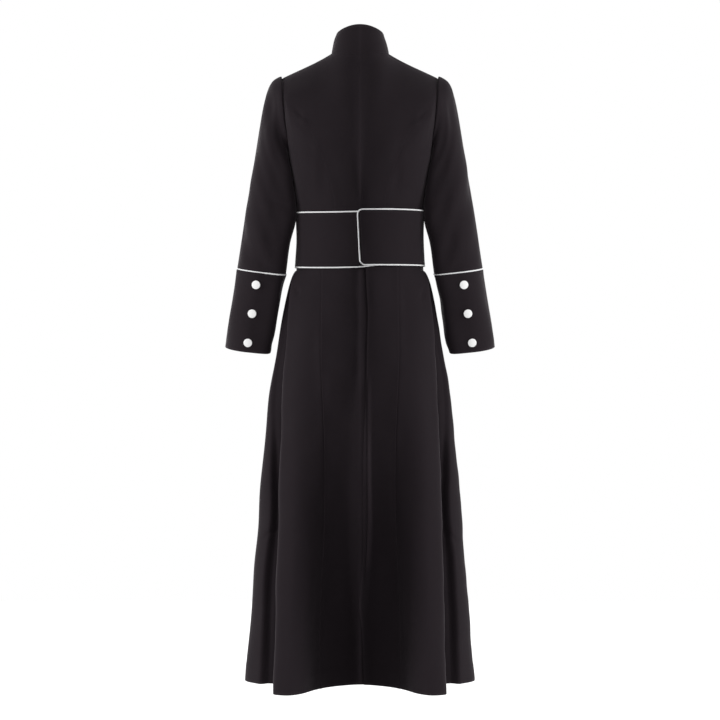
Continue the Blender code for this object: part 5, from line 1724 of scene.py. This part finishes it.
def turned(name, middle, outward):
    """Points middle + r (e cos a + f sin a) + h n, a ring for each row of the profile."""
    n = unit(np.asarray(outward, float))
    e = unit(np.cross([0.0, 0.0, 1.0], n))
    f = np.cross(n, e)
    a = np.linspace(0, TWO_PI, BUTTON_SIDES, endpoint=False)
    round_ = np.cos(a)[:, None] * e + np.sin(a)[:, None] * f
    radius = np.array(column(BUTTON_PROFILE, "radius")) * BUTTON_RADIUS
    height = np.array(column(BUTTON_PROFILE, "height")) * BUTTON_RADIUS
    rings = middle + radius[:, None, None] * round_ + height[:, None, None] * n
    poles = middle + np.array([[BUTTON_BACK], [BUTTON_FACE]]) * BUTTON_RADIUS * n
    number = np.arange(rings.shape[0] * BUTTON_SIDES).reshape(rings.shape[0], BUTTON_SIDES)
    number = np.concatenate([number, number[:, :1]], axis=1)
    first, last = number[-1, -2] + 1, number[-1, -2] + 2
    back_fan = np.stack([number[0, 1:], number[0, :-1], np.full(BUTTON_SIDES, first)], axis=1)
    face_fan = np.stack([number[-1, :-1], number[-1, 1:], np.full(BUTTON_SIDES, last)], axis=1)
    corners = np.concatenate([rings.reshape(-1, 3), poles])
    return mesh_object(name, corners, [grid_quads(number), np.concatenate([back_fan, face_fan])])


print("a button is", round(2000 * BUTTON_RADIUS, 1), "mm across")


# %% The finish of the buttons
def make_button_finish():
    """Polished resin: nearly even white with a faint cloud in its colour and its polish."""
    made, shader, place = new_finish("white_button_polish", Coat_Roughness=0.12, Specular_IOR_Level=0.4)
    cloud = place.noise(120.0)
    set_socket(shader, "Base Color", mixed(place, cloud + 0.5, (0.89, 0.89, 0.89), BUTTON_WHITE))
    set_socket(shader, "Roughness", 0.30 + cloud * 0.1)
    return made


BUTTON_WHITE = (0.93, 0.93, 0.925)
button_white = make_button_finish()


def sew_button(name, node, spot, outward):
    """A button that stands BUTTON_STAND off a spot, along the way the cloth faces there."""
    n = unit(np.asarray(outward, float))
    button = turned(name, np.asarray(spot) + n * BUTTON_STAND, n)
    dress(button, button_white, "white_button", node)


print("the button's white, as linear light:", BUTTON_WHITE)

# %% Three buttons on each cuff
CUFF_BUTTON_Z = (-0.4930, -0.5530, -0.6140)
CUFF_BUTTON_TURN = (0.2360, 0.2425, 0.2465)
for side, hand_name in HANDS:
    mirror = np.array([side, 1.0, 1.0])
    for count, (z, turn) in enumerate(zip(CUFF_BUTTON_Z, CUFF_BUTTON_TURN), start=1):
        around = sleeve_oval(turn + 0.01, z) - sleeve_oval(turn - 0.01, z)
        down = sleeve_oval(turn, z - 0.01) - sleeve_oval(turn, z + 0.01)
        sew_button(f"cuff_coat_button_{hand_name}_{count}", f"cuff_button_{hand_name}_{count}",
                   sleeve_oval(turn, z) * mirror, unit(np.cross(down, around)) * mirror)
print(len(CUFF_BUTTON_Z), "buttons on each cuff")

# %% Buttons down the front
BUTTON_CLEAR = 0.0010  # metres from the cloth under a button to its back
FRONT_BUTTON_TOP_Z = -0.1000
FRONT_BUTTON_PITCH = 0.0700
FRONT_BUTTONS = 16
BELT_COVERS_Z = (-0.470, -0.330)
MIDDLE_LINE = bodice(FRONT, 0 * ROWS, ROWS)


def front_point(x, z, out=0.0):
    """A point of the right front, x to the wearer's left of the middle, at a height."""
    x, z = np.broadcast_arrays(np.asarray(x, float), np.asarray(z, float))
    height = np.interp(z, MIDDLE_LINE[:, 2], ROWS)
    on_bodice = bodice_wall(FRONT, front_degrees(-x, height), height, out)
    on_skirt = skirt_wall(at_front_distance(x, np.minimum(z, WAIST_Z)), z, out)
    found = np.where((z > WAIST_Z)[..., None], on_bodice, on_skirt)
    return found * np.array([-1.0, 1.0, 1.0])


def front_outward(z):
    """The way the middle of the front faces at a height: its slope turned by a right angle."""
    rise = front_point(0.0, z + 0.009) - front_point(0.0, z - 0.009)
    return unit(np.array([0.0, -rise[2], rise[1]]))


button_heights = FRONT_BUTTON_TOP_Z - FRONT_BUTTON_PITCH * np.arange(FRONT_BUTTONS)
button_heights = button_heights[(button_heights < BELT_COVERS_Z[0]) | (button_heights > BELT_COVERS_Z[1])]
for count, z in enumerate(button_heights, start=1):
    outward = front_outward(z)
    # the highest of nine points under the button
    lift = max((front_point(x, z + dz) - front_point(0.0, z)) @ outward
               for x in (-0.006, 0.0, 0.006) for dz in (-0.007, 0.0, 0.007))
    sew_button(f"coat_button_{count:02d}", f"front_button_{count:02d}",
               front_point(0.0, z) + outward * (lift + BUTTON_CLEAR), outward)
print(len(button_heights), "buttons down the front")

# %% [markdown]
# ## Stitches and buttonholes
#
# Black thread on black cloth hardly shows, but it catches the light in a row of points: along the
# belt inside its piping, round the collar, below the cuff's piping and beside the front's lap.
# Every stitch is a small lens with a few faces, and one mesh holds a whole row of them.

# %% A row of stitches
STITCH_PITCH = 0.0032
STITCH_LENGTH = 0.0024
STITCH_RADIUS = 0.00028
STITCH_PROFILE = np.array([[-0.5, 0.0], [-0.38, 0.75], [0.0, 1.0], [0.38, 0.75], [0.5, 0.0]])
STITCH_SIDES = 5


def stitched(name, path, outward):
    """Lenses at even steps along a path: five-sided rings on the profile, closed by a point at
    each end. Their middles lie on the cloth."""
    run = run_along(path)
    at = np.arange(STITCH_PITCH / 2, run[-1], STITCH_PITCH)
    read = lambda values, at: np.stack([np.interp(at, run, values[:, k]) for k in range(3)], axis=1)
    middle = read(path, at)
    along = unit(read(path, at + 0.0008) - read(path, at - 0.0008))
    n = read(outward, at)
    n = unit(n - along * np.sum(n * along, axis=1, keepdims=True))
    b = np.cross(along, n)
    a = np.linspace(0, TWO_PI, STITCH_SIDES, endpoint=False)
    radius = STITCH_PROFILE[1:-1, 1] * STITCH_RADIUS
    ring = n[:, None] * np.cos(a)[None, :, None] + b[:, None] * np.sin(a)[None, :, None]
    lengths = STITCH_PROFILE[1:-1, 0] * STITCH_LENGTH
    rings = (middle[:, None, None] + along[:, None, None] * lengths[None, :, None, None]
             + ring[:, None] * radius[None, :, None, None])
    ends = middle[:, None] + along[:, None] * (np.array([-0.5, 0.5]) * STITCH_LENGTH)[None, :, None]
    each = 3 * STITCH_SIDES + 2
    corners = np.concatenate([rings.reshape(len(at), -1, 3), ends], axis=1).reshape(-1, 3)
    number = np.arange(3 * STITCH_SIDES).reshape(3, STITCH_SIDES)
    number = np.concatenate([number, number[:, :1]], axis=1)
    first, last = 3 * STITCH_SIDES, 3 * STITCH_SIDES + 1
    fans = np.concatenate([
        np.stack([number[0, 1:], number[0, :-1], np.full(STITCH_SIDES, first)], axis=1),
        np.stack([number[-1, :-1], number[-1, 1:], np.full(STITCH_SIDES, last)], axis=1)])
    shift = (np.arange(len(at)) * each)[:, None, None]
    faces = [(group[None] + shift).reshape(-1, group.shape[1]) for group in (grid_quads(number), fans)]
    dress(mesh_object(name, corners, faces), thread, "black_suiting")
    print(f"{name}: {len(at)} stitches")


def make_thread():
    """Black thread, a little shinier than the cloth, with a faint cloud in its colour."""
    made, shader, place = new_finish("black_polyester_thread", Specular_IOR_Level=0.35)
    cloud = place.noise(300.0)
    colour = mixed(place, cloud + 0.5, (0.009, 0.008, 0.009), (0.016, 0.014, 0.016))
    set_socket(shader, "Base Color", colour)
    set_socket(shader, "Roughness", 0.50 + cloud * 0.1)
    return made


thread = make_thread()

# %% Stitches on the belt
inset = 0.0035  # metres inside the belt's edge
inner_corner = BELT_CORNER - inset
plain = np.arange(BELT_RUN[np.searchsorted(BELT_DEGREES, -2)], BELT_LENGTH - BELT_CORNER, 0.004)
turn = np.radians(np.linspace(90, 0, 8))
at_top = np.concatenate([plain, BELT_LENGTH - BELT_CORNER + inner_corner * np.cos(turn)])
over_corner = np.concatenate([np.full(len(plain), inner_corner), inner_corner * np.sin(turn)])
up_top = BELT_HEIGHT / 2 - BELT_CORNER + over_corner
seam_at = np.concatenate([at_top, at_top[::-1]])
seam_up = np.concatenate([up_top, -up_top[::-1]])
on_band = np.full(len(seam_at), BELT_OUT + 0.0001)
path = belt_form(seam_at, seam_up, on_band)
stitched("fascia_topstitching", path, belt_form(seam_at, seam_up, on_band + 0.001) - path)

# %% Stitches on the collar, the cuffs and the front
places = np.linspace(0.02, 1.98, 200)
edge_share = np.full(len(places), 1 - 0.004 / COLLAR_HEIGHT)
path = collar_form(places, edge_share, 0.0001)
stitched("collar_topstitching", path, collar_form(places, edge_share, 0.0011) - path)
for side, hand_name in HANDS:
    mirror = np.array([side, 1.0, 1.0])
    rings = tube_rings(CUFF_TOP_Z - np.array([0.003, 0.005, 0.007]), FINE_TURN)
    outward = tube_facing(rings)[1]
    path = rings[1] + outward * 0.0007
    stitched(f"cuff_topstitching_{hand_name}", path * mirror, outward * mirror)
heights_down = np.concatenate([np.linspace(-0.075, -0.338, 60), np.linspace(-0.462, HEM_Z + 0.006, 200)])
for name, span in (("bodice", heights_down[:60]), ("skirt", heights_down[60:])):
    path = front_point(np.full(len(span), FRONT_LAP - 0.006), span, 0.0009)
    ahead = front_point(np.full(len(span), FRONT_LAP - 0.006), span, 0.0019)
    stitched(f"front_topstitching_{name}", path, ahead - path)

# %% Worked buttonholes
# Each is a slot edged with thread: a straight-sided ring that starts under its button and runs
# away from the lap's edge. The thread's radius swells at every turn of the stitch.
HOLE_LENGTH = 0.0200
HOLE_HALF_WIDTH = 0.0010
HOLE_START = 0.0040
HOLE_THREAD, HOLE_PITCH = 0.0007, 0.0009  # the thread's radius, and from turn to turn
turns = np.linspace(0, TWO_PI, 121)[:-1]
straight = HOLE_LENGTH / 2 - HOLE_HALF_WIDTH
cosine = np.cos(turns)
ends = straight * np.sign(cosine) * np.minimum(1, 6 * np.abs(cosine))  # most points lie at the ends
hole_x = HOLE_START - HOLE_LENGTH / 2 + HOLE_HALF_WIDTH * cosine + ends
hole_z = HOLE_HALF_WIDTH * np.sin(turns)
for count, z in enumerate(button_heights, start=1):
    path = front_point(hole_x, z + hole_z, 0.0001)
    ahead = front_point(hole_x, z + hole_z, 0.0011)
    hole = swept(f"buttonhole_{count:02d}", path, ahead - path, HOLE_THREAD, closed=True, sides=8,
                 pinch=0.25, pitch=HOLE_PITCH)
    dress(hole, thread, "black_suiting")
print(len(button_heights), "buttonholes, each", HOLE_LENGTH * 1000, "mm long")

# %% [markdown]
# ## Light, floor and camera
#
# Black cloth shows its folds only where it is lit from the side. Two tall soft lights stand level
# with the coat and a little behind it, left and right, so that every fold has a bright flank and a
# dark one. One more shines on its back, two weak ones rim its sides and two light its front. A
# white surround fills the shadows: it looks white to the eye but lights the coat with half of
# that, which a Light Path node can part. The floor is a plain pale sheet that lights nothing.

# %% Floor
FLOOR_Z = -1.50
FLOOR_HALF = 2.6
FLOOR_GREYS = (0.78, 0.78, 0.78), (0.80, 0.80, 0.80)
corners = np.array([[-1, -1], [1, -1], [1, 1], [-1, 1]]) * FLOOR_HALF
mesh = bpy.data.meshes.new("studio_floor")
mesh.from_pydata(np.column_stack([corners, np.full(4, FLOOR_Z)]).tolist(), [], [(0, 1, 2, 3)])
floor = in_scene("studio_floor", mesh)
floor_finish, shader, place = new_finish("pale_floor", Roughness=0.9, Specular_IOR_Level=0.1,
                                         Emission_Color=(1.0, 1.0, 1.0, 1.0), Emission_Strength=0.45)
set_socket(shader, "Base Color", mixed(place, place.noise(1.5) * 0.2 + 0.5, *FLOOR_GREYS))
floor.data.materials.append(floor_finish)
floor.visible_diffuse = False  # it lights nothing
print("the floor lies", round(HEM_Z - FLOOR_Z, 3), "m under the hem")

# %% Light
world = bpy.data.worlds.new("white_surround")
world.use_nodes = True
tree = world.node_tree
surround = Wire(tree, tree.nodes["Background"].outputs[0])
seen = surround.node("ShaderNodeLightPath")
FILL = 0.52  # of the surround's white reaches the coat
tree.nodes["Background"].inputs["Color"].default_value = (1.0, 1.0, 1.0, 1.0)
tree.links.new((seen * (1 - FILL) + FILL).socket, tree.nodes["Background"].inputs["Strength"])
bpy.context.scene.world = world

SOFTBOXES = table_of(
    "name x y z wide tall watts",
    ("softbox_left", 2.74, 1.22, -0.35, 1.5, 2.1, 52),
    ("softbox_right", -2.74, 1.22, -0.35, 1.5, 2.1, 52),
    ("softbox_behind", 0.0, 3.9, 0.4, 2.4, 1.6, 38),
    ("softbox_rim_left", 2.65, -1.40, -0.35, 1.2, 2.1, 15),
    ("softbox_rim_right", -2.65, -1.40, -0.35, 1.2, 2.1, 15),
    ("softbox_front_left", 1.80, -3.10, 0.20, 1.4, 1.8, 32),
    ("softbox_front_right", -1.80, -3.10, 0.20, 1.4, 1.8, 26),
)
AIM = np.array([0.0, 0.0, -0.60])


def aimed(thing, place, target):
    """Puts a thing at a place and turns its -Z axis to the target: tipped up from straight down
    about X, then turned about Z to the target's compass direction."""
    way = unit(np.asarray(target, float) - place)
    thing.location = place
    thing.rotation_euler = (np.arccos(-way[2]), 0.0, np.arctan2(way[1], way[0]) - np.pi / 2)


for box in SOFTBOXES:
    light = bpy.data.lights.new(box.name, "AREA")
    light.shape, light.size, light.size_y, light.energy = "RECTANGLE", box.wide, box.tall, box.watts
    aimed(in_scene(box.name, light), (box.x, box.y, box.z), AIM)
print(len(SOFTBOXES), "soft lights,", sum(box.watts for box in SOFTBOXES), "watts in all")

# %% A black card
# It stands on edge behind the middle of the back and keeps each side light to its own half. Its
# near edge follows the cloth at a gap, which lets a slit of light through where it is wide:
# between the shoulder blades and low in the skirt. The camera doesn't see the card.
CARD_DEPTH = 0.24  # where its far edge is
CARD_GAPS = table_of(
    "z gap",
    (-1.450, 0.0050), (-1.330, 0.0050), (-1.250, 0.0080),
    (-1.150, 0.0140), (-1.070, 0.0150), (-0.930, 0.0140),
    (-0.800, 0.0095), (-0.700, 0.0045), (-0.600, 0.0022),
    (-0.470, 0.0018), (-0.405, 0.0012), (-0.300, 0.0012),
    (-0.250, 0.0040), (0.100, 0.0040),
)
CARD_BLACKS = (0.001, 0.001, 0.001), (0.002, 0.002, 0.002)
card_z = np.linspace(CARD_GAPS[0].z, CARD_GAPS[-1].z, 90)
back_line = bodice(BACK, 0.0, np.linspace(-1, 1, 80))
card_y = np.interp(card_z, back_line[:, 2], back_line[:, 1])
below = skirt(0.0, np.maximum(card_z, HEM_Z))[..., 1] + middle_swing(points(0, 0, card_z))
card_y = np.where(card_z < FOLDS_Z, below, card_y)
card_y = card_y + through(card_z, column(CARD_GAPS, "z"), column(CARD_GAPS, "gap"))
card_points = np.concatenate([points(0, card_y, card_z), points(0, CARD_DEPTH, card_z)])
count = len(card_z)
first = np.arange(count - 1)
card_faces = np.stack([first, first + 1, first + 1 + count, first + count], axis=1)
mesh = bpy.data.meshes.new("black_card")
mesh.from_pydata(card_points.tolist(), [], card_faces.tolist())
card = in_scene("black_card", mesh)
card_finish, shader, place = new_finish("black_card", Roughness=1.0, Specular_IOR_Level=0.0)
set_socket(shader, "Base Color", mixed(place, place.noise(3.0) + 0.5, *CARD_BLACKS))
card.data.materials.append(card_finish)
card.visible_camera = False
print("the card's gap is", [1000 * pick(column(CARD_GAPS, "gap")) for pick in (min, max)], "mm wide")

# %% Camera
CAMERA_DISTANCE = 4.2
CAMERA_Z = -0.658
camera = bpy.data.cameras.new("camera")
camera.lens, camera.sensor_width = 97.7, 36.0
camera_object = in_scene("camera", camera)
aimed(camera_object, (0.0, CAMERA_DISTANCE, CAMERA_Z), np.array([0.0, 0.0, CAMERA_Z]))
bpy.context.scene.camera = camera_object
bpy.context.scene.view_settings.view_transform = "Standard"
print("the camera stands", CAMERA_DISTANCE, "m behind the coat")
